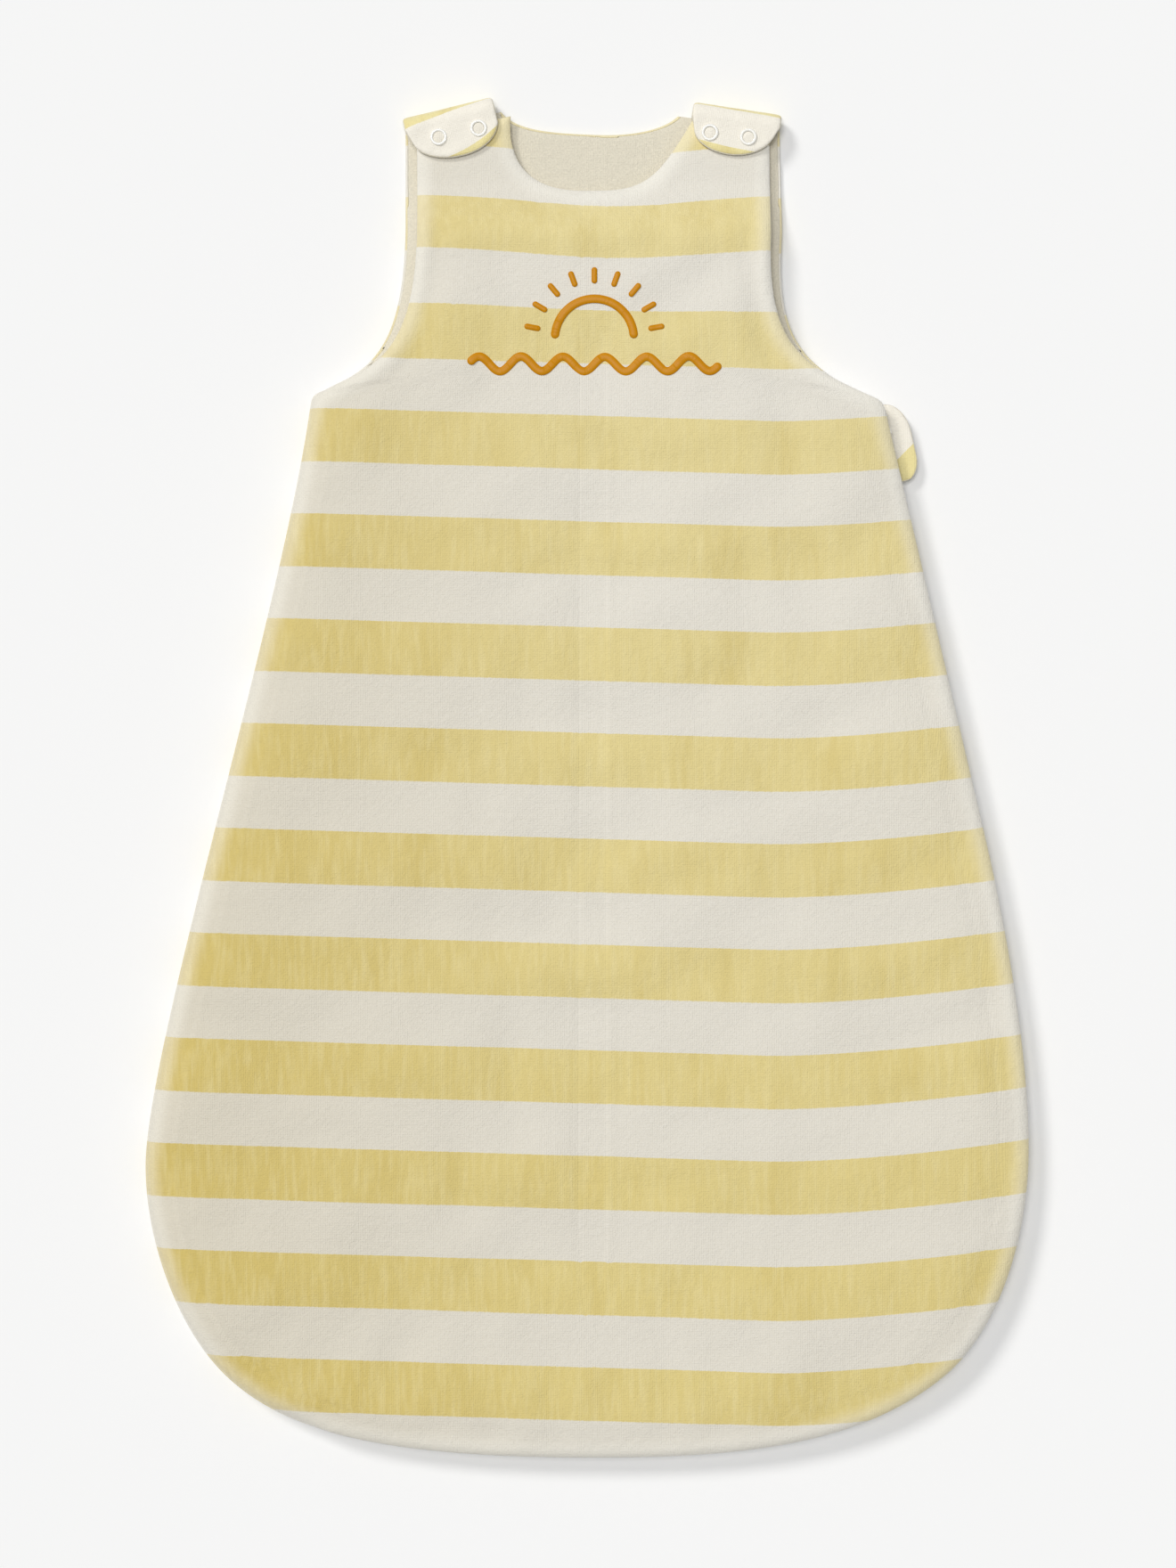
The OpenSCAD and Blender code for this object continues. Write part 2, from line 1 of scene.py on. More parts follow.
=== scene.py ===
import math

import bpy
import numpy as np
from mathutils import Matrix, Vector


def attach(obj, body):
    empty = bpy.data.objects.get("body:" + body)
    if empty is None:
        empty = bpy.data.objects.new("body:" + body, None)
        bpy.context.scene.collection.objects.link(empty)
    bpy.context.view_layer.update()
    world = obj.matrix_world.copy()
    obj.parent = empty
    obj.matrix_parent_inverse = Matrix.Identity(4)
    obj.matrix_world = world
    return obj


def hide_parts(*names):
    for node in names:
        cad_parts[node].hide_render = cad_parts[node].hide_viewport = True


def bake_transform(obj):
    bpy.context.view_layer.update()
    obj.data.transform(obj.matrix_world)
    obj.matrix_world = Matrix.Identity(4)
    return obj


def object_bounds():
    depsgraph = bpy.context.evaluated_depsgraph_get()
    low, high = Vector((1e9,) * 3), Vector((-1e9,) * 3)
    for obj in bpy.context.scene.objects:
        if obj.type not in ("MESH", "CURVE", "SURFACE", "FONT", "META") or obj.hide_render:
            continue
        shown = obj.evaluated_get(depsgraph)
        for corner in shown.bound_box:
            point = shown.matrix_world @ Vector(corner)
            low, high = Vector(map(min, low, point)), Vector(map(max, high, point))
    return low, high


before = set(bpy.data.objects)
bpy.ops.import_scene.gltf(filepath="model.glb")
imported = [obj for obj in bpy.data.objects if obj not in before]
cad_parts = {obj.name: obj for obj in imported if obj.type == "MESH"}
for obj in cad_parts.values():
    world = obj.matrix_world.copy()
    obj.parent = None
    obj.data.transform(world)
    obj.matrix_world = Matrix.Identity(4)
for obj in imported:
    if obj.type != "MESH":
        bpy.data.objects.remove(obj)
cad_low, cad_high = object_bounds()

# %% [markdown]
# # A padded baby sleeping bag
# The bag is two padded panels, front and back. Each has a striped jersey outside, a layer of
# wadding and a plain cream lining. Two shoulder tabs fold over from the back and snap onto the
# front. A zip runs down the right side and round the hem. Each cell below makes one of these
# pieces, in metres, in the place where the CAD frame holds its simple solid.

MM = 0.001
scene = bpy.context.scene
print("The frame is", [round(v / MM, 1) for v in cad_high - cad_low], "mm")

# %% [markdown]
# ## Camera, floor and light
# The bag lies on a pale floor and is seen from straight above, so the camera looks down the Z
# axis. A long lens from 2.5 m keeps the tabs from leaning. The light is a broad lamp almost
# overhead and a narrower, warmer one at the upper left, with a pale room around them. The second
# lamp gives the short grey shadow at the right and below, and the first keeps that shadow pale.
# The plain "Standard" view keeps cream as cream.

# %% Camera
VIEW_HEIGHT = 0.8624
VIEW_MIDDLE = (0.0005, -0.0044)
CAMERA_UP = 2.5
BAG_PLANE = 0.018
camera = bpy.data.objects.new("camera", bpy.data.cameras.new("camera"))
scene.collection.objects.link(camera)
camera.location = (*VIEW_MIDDLE, BAG_PLANE + CAMERA_UP)
camera.data.lens = camera.data.sensor_width * CAMERA_UP / VIEW_HEIGHT
scene.camera = camera
scene.view_settings.view_transform = "Standard"
print("lens", round(camera.data.lens, 1), "mm")

# %% Light
ROOM_LIGHT = 0.235
ROOM_COLOUR = (0.97, 0.985, 1, 1)
WHITE = (1, 1, 1)
WARM_WHITE = (1, 0.99, 0.965)
room = bpy.data.worlds.new("room")
room.use_nodes = True
backdrop = room.node_tree.nodes["Background"]
backdrop.inputs["Color"].default_value = ROOM_COLOUR
backdrop.inputs["Strength"].default_value = ROOM_LIGHT
scene.world = room


def far_lamp(name, way, strength, spread, colour):
    """A lamp so far off that its light is even all over; spread, in degrees, softens its shadow."""
    lamp = bpy.data.objects.new(name, bpy.data.lights.new(name, "SUN"))
    scene.collection.objects.link(lamp)
    lamp.data.energy = strength
    lamp.data.angle = math.radians(spread)
    lamp.data.color = colour
    lamp.location = way
    lamp.rotation_euler = (-Vector(way)).to_track_quat("-Z", "Y").to_euler()
    print(name, "gives", round(strength * Vector(way).normalized().z / math.pi, 2), "of white")


far_lamp("overhead", way=(-0.28, 0.24, 3), strength=1.62, spread=22, colour=WHITE)
far_lamp("side_lamp", way=(-1.0, 1.0, 1.55), strength=1.22, spread=15, colour=WARM_WHITE)

# %% [markdown]
# ## Shader maths as plain Python
# A material's pattern is arithmetic on numbers that change over the surface. The class below
# wraps one shader socket, and each operator adds the Math node that does it, so a ribbed cloth
# can be written as `(place * 3).sine().size()`. Colours are mixed with Mix nodes, because a Math
# node would turn them grey. Every other node comes from `Finish.node`.

# %% A value that flows through a shader


class Value:
    def __init__(self, finish, socket):
        self.finish = finish
        self.socket = socket

    def maths(self, operation, first, second=0.0, clamp=False):
        settings = {"operation": operation, "use_clamp": clamp}
        made = self.finish.node("ShaderNodeMath", settings, {0: first, 1: second})
        return Value(self.finish, made.outputs[0])

    def __add__(self, other):
        return self.maths("ADD", self, other)

    def __sub__(self, other):
        return self.maths("SUBTRACT", self, other)

    def __rsub__(self, other):
        return self.maths("SUBTRACT", other, self)

    def __mul__(self, other):
        return self.maths("MULTIPLY", self, other)

    __radd__ = __add__
    __rmul__ = __mul__

    def sine(self):
        return self.maths("SINE", self)

    def size(self):
        return self.maths("ABSOLUTE", self)

    def fraction(self):
        return self.maths("FRACT", self)

    def clamped(self):
        return self.maths("ADD", self, clamp=True)

    def steeper(self, gain, less):
        """Soft noise made into spots: only what is above the middle stays, from 0 to 1."""
        return (self * gain - less).clamped()


# %% A finish: one material, built from its sockets


class Finish:
    def __init__(self, name, settings):
        self.material = bpy.data.materials.new(name)
        self.material.use_nodes = True
        self.tree = self.material.node_tree
        self.shader = self.tree.nodes["Principled BSDF"]
        self.fill(self.shader, settings)

    def fill(self, node, sockets):
        for key, value in sockets.items():
            if isinstance(value, Value):
                self.tree.links.new(value.socket, node.inputs[key])
            else:
                node.inputs[key].default_value = value

    def node(self, kind, settings, sockets):
        made = self.tree.nodes.new(kind)
        for key, value in settings.items():
            setattr(made, key, value)
        self.fill(made, sockets)
        return made

    def attribute(self, name, output):
        return Value(self, self.node("ShaderNodeAttribute", {"attribute_name": name}, {}).outputs[output])

    def noise(self, place, grains, detail=2.0):
        """Soft noise; grains is about how many of its spots lie in a metre."""
        made = self.node("ShaderNodeTexNoise", {}, {"Vector": place, "Scale": grains, "Detail": detail})
        return Value(self, made.outputs["Fac"])

    def mix(self, share, low, high):
        """From one colour to the other. A Mix node keeps its colours in sockets 6 and 7."""
        made = self.node("ShaderNodeMix", {"data_type": "RGBA"}, {0: share, 6: low, 7: high})
        return Value(self, made.outputs[2])

    def axis(self, place, name):
        made = self.node("ShaderNodeSeparateXYZ", {}, {"Vector": place})
        return Value(self, made.outputs[name])

    def bump(self, height, distance, strength):
        sockets = {"Height": height, "Distance": distance, "Strength": strength}
        made = self.node("ShaderNodeBump", {}, sockets)
        self.fill(self.shader, {"Normal": Value(self, made.outputs["Normal"])})


def tone(red, green, blue):
    """A colour as it should look, from 0 to 255, turned into the amount of light it sends back."""
    parts = [v / 255 for v in (red, green, blue)]
    light = [v / 12.92 if v <= 0.04045 else ((v + 0.055) / 1.055) ** 2.4 for v in parts]
    return (*light, 1.0)


# %% [markdown]
# ## The floor
# It is a plain matt sheet that reaches far past the lens's view, so the bag has something to
# throw its shadow on. It is part of the stage and not of the bag. It lies a hair below the bag,
# so that the two never share a surface.

# %% Floor
FLOOR_REACH = 30
FLOOR_DROP = 0.0006
floor_white = {"Roughness": 0.9, "Specular IOR Level": 0.1, "Base Color": tone(243, 243, 243)}
floor_finish = Finish("floor", floor_white)
floor_mesh = bpy.data.meshes.new("floor")
floor_corners = [(x * FLOOR_REACH, y * FLOOR_REACH, 0) for x, y in ((-1, -1), (1, -1), (1, 1), (-1, 1))]
floor_mesh.from_pydata(floor_corners, [], [(0, 1, 2, 3)])
floor = bpy.data.objects.new("floor", floor_mesh)
scene.collection.objects.link(floor)
floor.location = (0, 0, -FLOOR_DROP)
floor_mesh.materials.append(floor_finish.material)
print("floor", 2 * FLOOR_REACH, "m wide")

# %% [markdown]
# ## Jersey
# The cloth is fine cotton jersey with a brushed face. Close up it has upright ribs about 1 mm
# apart, crossed by finer rows, under a soft nap. Those are too fine for mesh, so they are bump.
# Each cloth piece carries up to three values on its mesh: `cloth`, where each point lay on the
# flat cloth, `band`, which counts stripes, and `edge`, which is 1 at an edge and 0 farther in.
# The stripes are drawn from `band`, so they stay on the cloth when it folds. The knit is drawn
# from `cloth` for the same reason.
#
# The butter and the cream deepen towards the left side, are lighter towards the top, and both
# are paler at an edge. The paleness at an edge is a painted highlight on the rolled edges. The
# deepening to the left is painted shade and the lighter top is painted light, each partly the
# cloth's own tone. All of it is in the base colour, so it stays when the light changes. With the
# shares for the left and for the edge at 0, the painted shade on the left and the painted edge
# highlight are gone.

# %% Knit relief
RIB = 1.0 * MM
ROW = 0.8 * MM
KNIT_DEPTH = 0.0004
KNIT_STRENGTH = 0.8
FINE = 900


def ribs(finish, place, axis, pitch):
    """Rounded ribs, one every pitch along an axis."""
    return (finish.axis(place, axis) * (math.pi / pitch)).sine().size()


def knit(finish, place):
    """Ribs, rows, brushed nap and small creases as one bump; returns the nap."""
    across = ribs(finish, place, "X", RIB)
    along = ribs(finish, place, "Y", ROW)
    nap = finish.noise(place, FINE, 4.0)
    crease = finish.noise(place, 210, 3.0)
    relief = across * 0.3 + along * 0.2 + nap * 1.1 + crease * 1.6
    finish.bump(relief, KNIT_DEPTH, KNIT_STRENGTH)
    return nap


CLOTH = {"Roughness": 0.92, "Specular IOR Level": 0.18, "Sheen Weight": 0.4, "Sheen Roughness": 0.45}
print("knit of", round(RIB / MM, 1), "by", round(ROW / MM, 1), "mm")

# %% Colours of the striped jersey
# Each colour is lighter HIGH on the bag than LOW: partly painted light on the top of the bag, partly the
# cloth's own tone.
BUTTER_HIGH = tone(229, 214, 155)
BUTTER_LOW = tone(221, 203, 134)
BUTTER_DEEP = tone(205, 182, 100)
BUTTER_PALE = tone(238, 225, 172)
CREAM_HIGH = tone(230, 226, 216)
CREAM_LOW = tone(225, 220, 208)
CREAM_DEEP = tone(214, 206, 186)
# Painted light: the tabs' colours are lighter than the bag's, for the extra light that the raised tabs
# catch.
TAB_BUTTER_LIT = tone(240, 228, 168)
TAB_CREAM_LIT = tone(246, 241, 229)
SHADE = (0.45, 0.36, 0.2, 1)
# Painted highlight: the pale colour that every edge of the cloth turns towards, standing in for light on
# the rolled edges.
PAINTED_EDGE_HIGHLIGHT = (1, 0.98, 0.9, 1)
YELLOW_SHARE = 0.507
# Shares of the painted shade towards the left, partly the cloth's own tone.
LEFT_SHADE_BUTTER = 0.85
LEFT_SHADE_CREAM = 0.7
# How much of the painted edge highlight is mixed in.
EDGE_HIGHLIGHT_SHARE = 0.5

# %% Where the butter bands are


def butter_mask(finish, place):
    """1 in a butter band and 0 in a cream one, with a fine edge that wavers a little."""
    sharp = 90
    waver = (finish.noise(place, FINE, 1.0) - 0.5) * 0.012
    phase = (finish.attribute("band", "Fac") + waver).fraction()
    before_end = ((YELLOW_SHARE - phase) * sharp + 0.5).clamped()
    after_start = (phase * sharp + 0.5).clamped()
    return before_end * after_start


def upright_streaks(finish, place):
    """Broad streaks and fine slubs of yarn, both stretched along the upright ribs."""
    stretch = {0: place, 1: (1, 0.13, 1)}
    node = finish.node("ShaderNodeVectorMath", {"operation": "MULTIPLY"}, stretch)
    along = Value(finish, node.outputs["Vector"])
    return finish.noise(along, 62, 3.0), finish.noise(along, 330, 2.0)


# %% Striped jersey


def striped(name, butter_high, butter_low, cream_high, cream_low):
    """Striped cloth whose two colours change from low on the bag to high; the lighter top is partly
    painted light.
    """
    finish = Finish(name, CLOTH)
    place = finish.attribute("cloth", "Vector")
    nap = knit(finish, place)
    # Painted light: both colours get lighter towards the top, partly the cloth's own tone.
    lit_upward = (finish.axis(place, "Y") * 1.5 + 0.5).clamped()
    # Painted shade: butter and cream are made darker towards the left, partly the cloth's own tone.
    left_shade = (finish.axis(place, "X") * -4.0).clamped()
    streak, slub = upright_streaks(finish, place)
    butter = finish.mix(left_shade * LEFT_SHADE_BUTTER, finish.mix(lit_upward, butter_low, butter_high), BUTTER_DEEP)
    butter = finish.mix(streak.steeper(2.6, 1.25) * 0.5, butter, BUTTER_DEEP)
    butter = finish.mix(slub.steeper(3, 1.3) * 0.35, butter, BUTTER_PALE)
    cream = finish.mix(left_shade * LEFT_SHADE_CREAM, finish.mix(lit_upward, cream_low, cream_high), CREAM_DEEP)
    plain = finish.mix(butter_mask(finish, place), cream, butter)
    dim = finish.mix(0.10, plain, SHADE)
    flecked = finish.mix(nap.steeper(2.4, 0.7), dim, plain)
    patch = finish.noise(place, 40, 3.0)
    worn = finish.mix(patch.steeper(3, 1) * 0.14, flecked, dim)
    # Painted highlight: the cloth is made paler near every edge, as light on the rolled edges.
    edge_highlight = finish.mix(0.55, worn, PAINTED_EDGE_HIGHLIGHT)
    edge = finish.attribute("edge", "Fac")
    finish.fill(finish.shader, {"Base Color": finish.mix(edge * EDGE_HIGHLIGHT_SHARE, worn, edge_highlight)})
    print(name, "has", len(finish.tree.nodes), "nodes")
    return finish.material


striped_jersey = striped("striped_jersey", BUTTER_HIGH, BUTTER_LOW, CREAM_HIGH, CREAM_LOW)
# The tabs' cloth is a lighter copy of the striped jersey: painted light on the raised tabs.
tab_jersey = striped("tab_jersey", TAB_BUTTER_LIT, TAB_BUTTER_LIT, TAB_CREAM_LIT, TAB_CREAM_LIT)

# %% Plain cloths: lining, facing and wadding


def plain_cloth(name, colour, settings):
    finish = Finish(name, settings)
    place = finish.attribute("cloth", "Vector")
    nap = knit(finish, place)
    dark = (*[c * 0.86 for c in colour[:3]], 1)
    finish.fill(finish.shader, {"Base Color": finish.mix(nap.steeper(2.4, 0.7), dark, colour)})
    return finish.material


lining_jersey = plain_cloth("lining_jersey", tone(230, 223, 204), CLOTH)
wadding = plain_cloth("wadding", tone(244, 244, 240), {"Roughness": 1.0, "Specular IOR Level": 0.05})

# %% [markdown]
# ## The outline of the bag
# A pattern cutter draws the bag as a few smooth curves: hem, hip, side, armhole and strap, for
# the left and the right, and a neckline. They are the same curves that the CAD frame was cut
# to, in millimetres, and `at` stretches them if the frame's box is a different size.

# %% Curves
BAG_WIDE = 486
BAG_LONG = 750
stretch_x = (cad_high.x - cad_low.x) / MM / BAG_WIDE
stretch_y = (cad_high.y - cad_low.y) / MM / BAG_LONG
print("the curves are stretched by", round(stretch_x, 4), "and", round(stretch_y, 4))


def at(x, y):
    """A place in millimetres from the middle of the bag."""
    return np.array([x * stretch_x, y * stretch_y])


def bezier(points, t):
    """Places on a curve with two ends and two handles, for t from 0 to 1."""
    t = np.asarray(t, float)[:, None]
    a, b, c, d = points
    return (1 - t) ** 3 * a + 3 * (1 - t) ** 2 * t * b + 3 * (1 - t) * t * t * c + t**3 * d


def straight(a, b):
    """A straight line written as such a curve."""
    return [a, a + (b - a) / 3, b - (b - a) / 3, b]


def unit(v):
    return v / np.linalg.norm(v, axis=-1, keepdims=True)


LEFT_UNDERARM = at(-151.5, 209)
RIGHT_UNDERARM = at(163, 206)
SIDE_END = at(218, -29)
left_hem = [at(4, -375), at(-119, -375), at(-168, -359), at(-198.5, -330.5)]
left_hip = [at(-198.5, -330.5), at(-224, -306.5), at(-243, -257.5), at(-243, -215)]
left_side = [at(-243, -215), at(-243, -151), at(-165, 101), LEFT_UNDERARM]
right_hem = [at(4, -375), at(92, -375), at(153.5, -366.5), at(198, -329)]
right_hip = [at(198, -329), at(226, -304.5), at(243, -255), at(243, -205)]
right_curve = [at(243, -205), at(243, -150), at(229.6, -78.6), SIDE_END]
right_straight = straight(SIDE_END, RIGHT_UNDERARM)

# %% Shoulder lines, armholes and necklines
LEFT_AXIS = [at(-100.5, 355.03), at(-50.5, 367.23)]
RIGHT_AXIS = [at(106.61, 356.89), at(57.61, 364.29)]
back_arms = [
    [LEFT_UNDERARM, at(-131, 223.5), at(-102, 221), at(-100.5, 300)],
    [RIGHT_UNDERARM, at(124.5, 225), at(103, 234.5), at(108, 299.5)],
]
front_arms = [
    [LEFT_UNDERARM, at(-125, 223.5), at(-94.5, 222), at(-93.5, 300)],
    [RIGHT_UNDERARM, at(118, 225), at(98, 235), at(101.3, 299.5)],
]
back_straps = [straight(back_arms[0][3], LEFT_AXIS[0]), straight(back_arms[1][3], RIGHT_AXIS[0])]
front_straps = [straight(front_arms[0][3], at(-94, 354.5)), straight(front_arms[1][3], at(100.5, 355.6))]
back_necks = [
    [at(4, 355), at(-20, 356), at(-39, 357), at(-47.5, 367.6)],
    [at(4, 355), at(22, 354), at(42, 357), at(50, 365.2)],
]
front_necks = [
    [at(4, 323), at(-30, 321), at(-44.5, 336.5), at(-42, 364.5)],
    [at(4, 323), at(33, 322.4), at(40, 331.7), at(58, 361.8)],
]

# %% [markdown]
# ## Laying a grid over a panel
# Each half of a panel is covered by rows that run from the border to the middle of the bag.
# Points crowd together at the border, where the padding rounds over, and are spread out in the
# middle, where it is nearly flat. Both sheets of a panel, outside and inside, use the same grid,
# so the wadding between them is easy to make too.

# %% Rows and columns
ROWS = {"hem": 30, "hip": 20, "side": 66, "arm": 22, "strap": 22}
NECK_ROW = ROWS["hem"] + ROWS["hip"] + ROWS["side"] + ROWS["arm"]
LAST_ROW = NECK_ROW + ROWS["strap"]
RIM_STEPS = 8
WIDE_STEPS = 17
NECK_STEPS = 6
print(LAST_ROW + 1, "rows of", RIM_STEPS + WIDE_STEPS + NECK_STEPS + 1, "points")


def steps(count, crowd_end=1.0):
    """Steps from 0 up to, but without, 1. They get closer at the end if crowd_end is above 1."""
    return 1 - (1 - np.arange(count) / count) ** crowd_end


def border(half, arms, straps):
    """Where each row starts: the outline of one half, from the hem to the strap."""
    side = [left_side] if half == 0 else [right_curve, right_straight]
    share = ROWS["side"] // len(side)
    parts = [bezier([left_hem, right_hem][half], steps(ROWS["hem"]))]
    parts += [bezier([left_hip, right_hip][half], steps(ROWS["hip"]))]
    parts += [bezier(curve, steps(share)) for curve in side]
    parts += [bezier(arms[half], steps(ROWS["arm"]))]
    parts += [bezier(straps[half], steps(ROWS["strap"], 1.5)), straps[half][3][None]]
    return np.vstack(parts)


def middle(neck):
    """Where each row ends: up the middle of the bag, then out along the neckline."""
    low, hip, chest = at(4, -300), at(4, -225), at(4, 225)
    parts = [bezier(straight(low, hip), steps(ROWS["hem"] + ROWS["hip"]))]
    parts += [bezier(straight(hip, chest), steps(ROWS["side"]))]
    parts += [bezier(straight(chest, neck[0]), steps(ROWS["arm"], 2.0))]
    parts += [bezier(neck, steps(ROWS["strap"], 1.5)), neck[3][None]]
    return np.vstack(parts)


# %% Points across each row
BODY_ROUND = 15.0
STRAP_ROUND = 8.0
NECK_ROUND = 7.0
RIM_LIMIT = 0.4


def across(outer, inner, width):
    """All the points of one half: rows of points from the border to the middle."""
    span = inner - outer
    long = np.linalg.norm(span, axis=1)
    ahead = unit(span)
    tangent = unit(np.gradient(outer, axis=0))
    square = np.abs(tangent[:, 0] * ahead[:, 1] - tangent[:, 1] * ahead[:, 0])
    rim = np.minimum(width / np.maximum(square, RIM_LIMIT), long * RIM_LIMIT)
    turn = np.linspace(0, math.pi / 2, RIM_STEPS + 1)[:-1]
    first = rim[:, None] * (1 - np.cos(turn))
    between = rim[:, None] + (long - NECK_ROUND - rim)[:, None] * np.arange(WIDE_STEPS) / WIDE_STEPS
    back = np.linspace(math.pi / 2, 0, NECK_STEPS + 1)
    last = long[:, None] - NECK_ROUND * (1 - np.cos(back))
    distance = np.hstack([first, between, last])
    return outer[:, None] + ahead[:, None] * distance[:, :, None]


def smooth(t):
    t = np.clip(t, 0, 1)
    return t * t * (3 - 2 * t)


SHOULDER_FROM = 295
SHOULDER_RUN = 34


def sunk(y):
    """How far the shoulders have sunk towards the back strap, from 0 on the chest to 1."""
    return smooth((y / stretch_y - SHOULDER_FROM) / SHOULDER_RUN)


def lay_grid(arms, straps, necks):
    """The grid of a whole panel, as [half, row, point]. The halves share the points between them."""
    halves = []
    for half in (0, 1):
        outer = border(half, arms, straps)
        width = BODY_ROUND + (STRAP_ROUND - BODY_ROUND) * sunk(outer[:, 1])
        halves.append(across(outer, middle(necks[half]), width))
    grid = np.array(halves)
    grid[1, 0] = grid[0, 0]
    grid[1, : NECK_ROW + 1, -1] = grid[0, : NECK_ROW + 1, -1]
    return grid


back_grid = lay_grid(back_arms, back_straps, back_necks)
front_grid = lay_grid(front_arms, front_straps, front_necks)
print("panel grid", front_grid.shape, "points")

# %% [markdown]
# ## From the border inwards
# Near an edge the cloth turns over like a pillow's edge. How high it is depends only on how far
# a point is from the nearest border, and on how high the seam lies there. Down the left side the
# two panels are sewn together, so both seams lie at the same height. At the armholes and the
# neck each panel ends in its own rolled edge, halfway up its thickness.

# %% Distance to the border, and the height of the seam there
BACK_TOP = 9.0
FRONT_LOW = 17.0
FRONT_TOP = 25.0
ZIP_HEM_SHARE = 0.6


def outline_of(grid, closed_ends):
    """Chains of border points, each with its share of zipped side and of open edge, by row."""
    chains = []
    arm_row = NECK_ROW - ROWS["arm"]
    along = np.arange(LAST_ROW + 1)
    left = grid[0, :, 0]
    right = grid[1, :, 0]
    hem_end = ROWS["hem"] * ZIP_HEM_SHARE
    left_open = smooth((along - arm_row + 0.5) / 6)
    left_zip = smooth((hem_end - along) / 3 + 0.5) * (1 - left_open)
    right_open = smooth((along - arm_row + 3) / 5)
    chains.append((left, left_zip, left_open))
    chains.append((right, 1 - right_open, right_open))
    for half in (0, 1):
        neck = grid[half, NECK_ROW:, -1]
        chains.append((neck, np.zeros(len(neck)), np.ones(len(neck))))
        if closed_ends:
            end = grid[half, -1]
            chains.append((end, np.zeros(len(end)), np.ones(len(end))))
    return chains


def nearest_border(points, chains):
    """For each point: its distance to the border, and the zip and open shares of that place."""
    best = np.full(len(points), 1e9)
    marks = np.zeros((len(points), 2))
    for line, zipped, opened in chains:
        for i in range(len(line) - 1):
            a, b = line[i], line[i + 1]
            ab = b - a
            t = np.clip((points - a) @ ab / max(ab @ ab, 1e-9), 0, 1)
            gap = np.linalg.norm(points - a - t[:, None] * ab, axis=1)
            closer = gap < best
            best[closer] = gap[closer]
            marks[closer, 0] = (zipped[i] + t * (zipped[i + 1] - zipped[i]))[closer]
            marks[closer, 1] = (opened[i] + t * (opened[i + 1] - opened[i]))[closer]
    return best, marks


# %% [markdown]
# ## Stripes
# The jersey is knitted in even bands, butter and cream, each about 29 mm. The cutter laid the
# pattern a little askew, and the cloth pulls up at the right hip and dips at the chest, so the
# bands are level lines that have been pushed gently out of true.

# %% Stripe count at each point of a panel
STRIPE_TOP = 313.6
STRIPE_STEP = 57.98
ASKEW = 0.030
HIP_PULL = 14.3
CHEST_DIP = 7


def stripe_count(x, y):
    """How many pairs of bands lie above a point."""
    tilt = -ASKEW * x + HIP_PULL * np.clip((x - 100) / 131, 0, None) ** 1.5
    dip = CHEST_DIP * (1 - np.exp(-((x - 15) ** 2) / (2 * 45**2)))
    upper = smooth((y - 230) / 80)
    return (STRIPE_TOP - y + tilt * (1 - upper) + dip * upper) / STRIPE_STEP


print("each band is about", round(STRIPE_STEP / 2), "mm deep")


# %% Unevenness and a quarter round


def soft_noise(x, y, size_x, size_y, seed, waves=14):
    """Smooth unevenness from a few slow waves, about 1 high, the same on each run."""
    chance = np.random.default_rng(seed)
    total = np.zeros_like(x)
    for _ in range(waves):
        across_wave, along_wave = chance.normal(size=2)
        start = chance.uniform(0, 2 * math.pi)
        total += np.sin(2 * math.pi * (across_wave * x / size_x + along_wave * y / size_y) + start)
    return total / math.sqrt(waves / 2)


def quarter_round(gap, width):
    """A quarter circle's height, from 0 at an edge to 1 where the gap reaches the width."""
    return np.sqrt(np.clip(1 - (1 - np.clip(gap / width, 0, 1)) ** 2, 0, 1))


# %% Relief of the padded outside
HOLLOW_DEEP = 0.6
RIPPLE_CREAM = 0.10
RIPPLE_BUTTER = 0.30
ROLL_HIGH = 0.45
GUTTER_DEEP = 0.85


def relief(flat, gap, opened, low, seed):
    """Hollows, long ripples, a roll by the border and a shallow gutter behind it."""
    calm = smooth((gap - 2) / 18) * (1 - low)
    count = stripe_count(flat[:, 0], flat[:, 1])
    in_butter = smooth(1 - np.abs((count % 1) - YELLOW_SHARE / 2) / 0.30)
    hollow = soft_noise(flat[:, 0], flat[:, 1], 90, 150, seed) * HOLLOW_DEEP
    ripple = soft_noise(flat[:, 0], flat[:, 1], 34, 240, seed + 1)
    ripple = ripple * (RIPPLE_CREAM + RIPPLE_BUTTER * in_butter)
    roll = ROLL_HIGH * np.exp(-(((gap - 4) / 2.6) ** 2))
    roll = roll - GUTTER_DEEP * np.exp(-(((gap - 12) / 5) ** 2))
    return (hollow + ripple) * calm + roll * (0.55 + 0.45 * opened) * (1 - low)


# %% Two sheets of one panel
OPEN_ROUND = 9


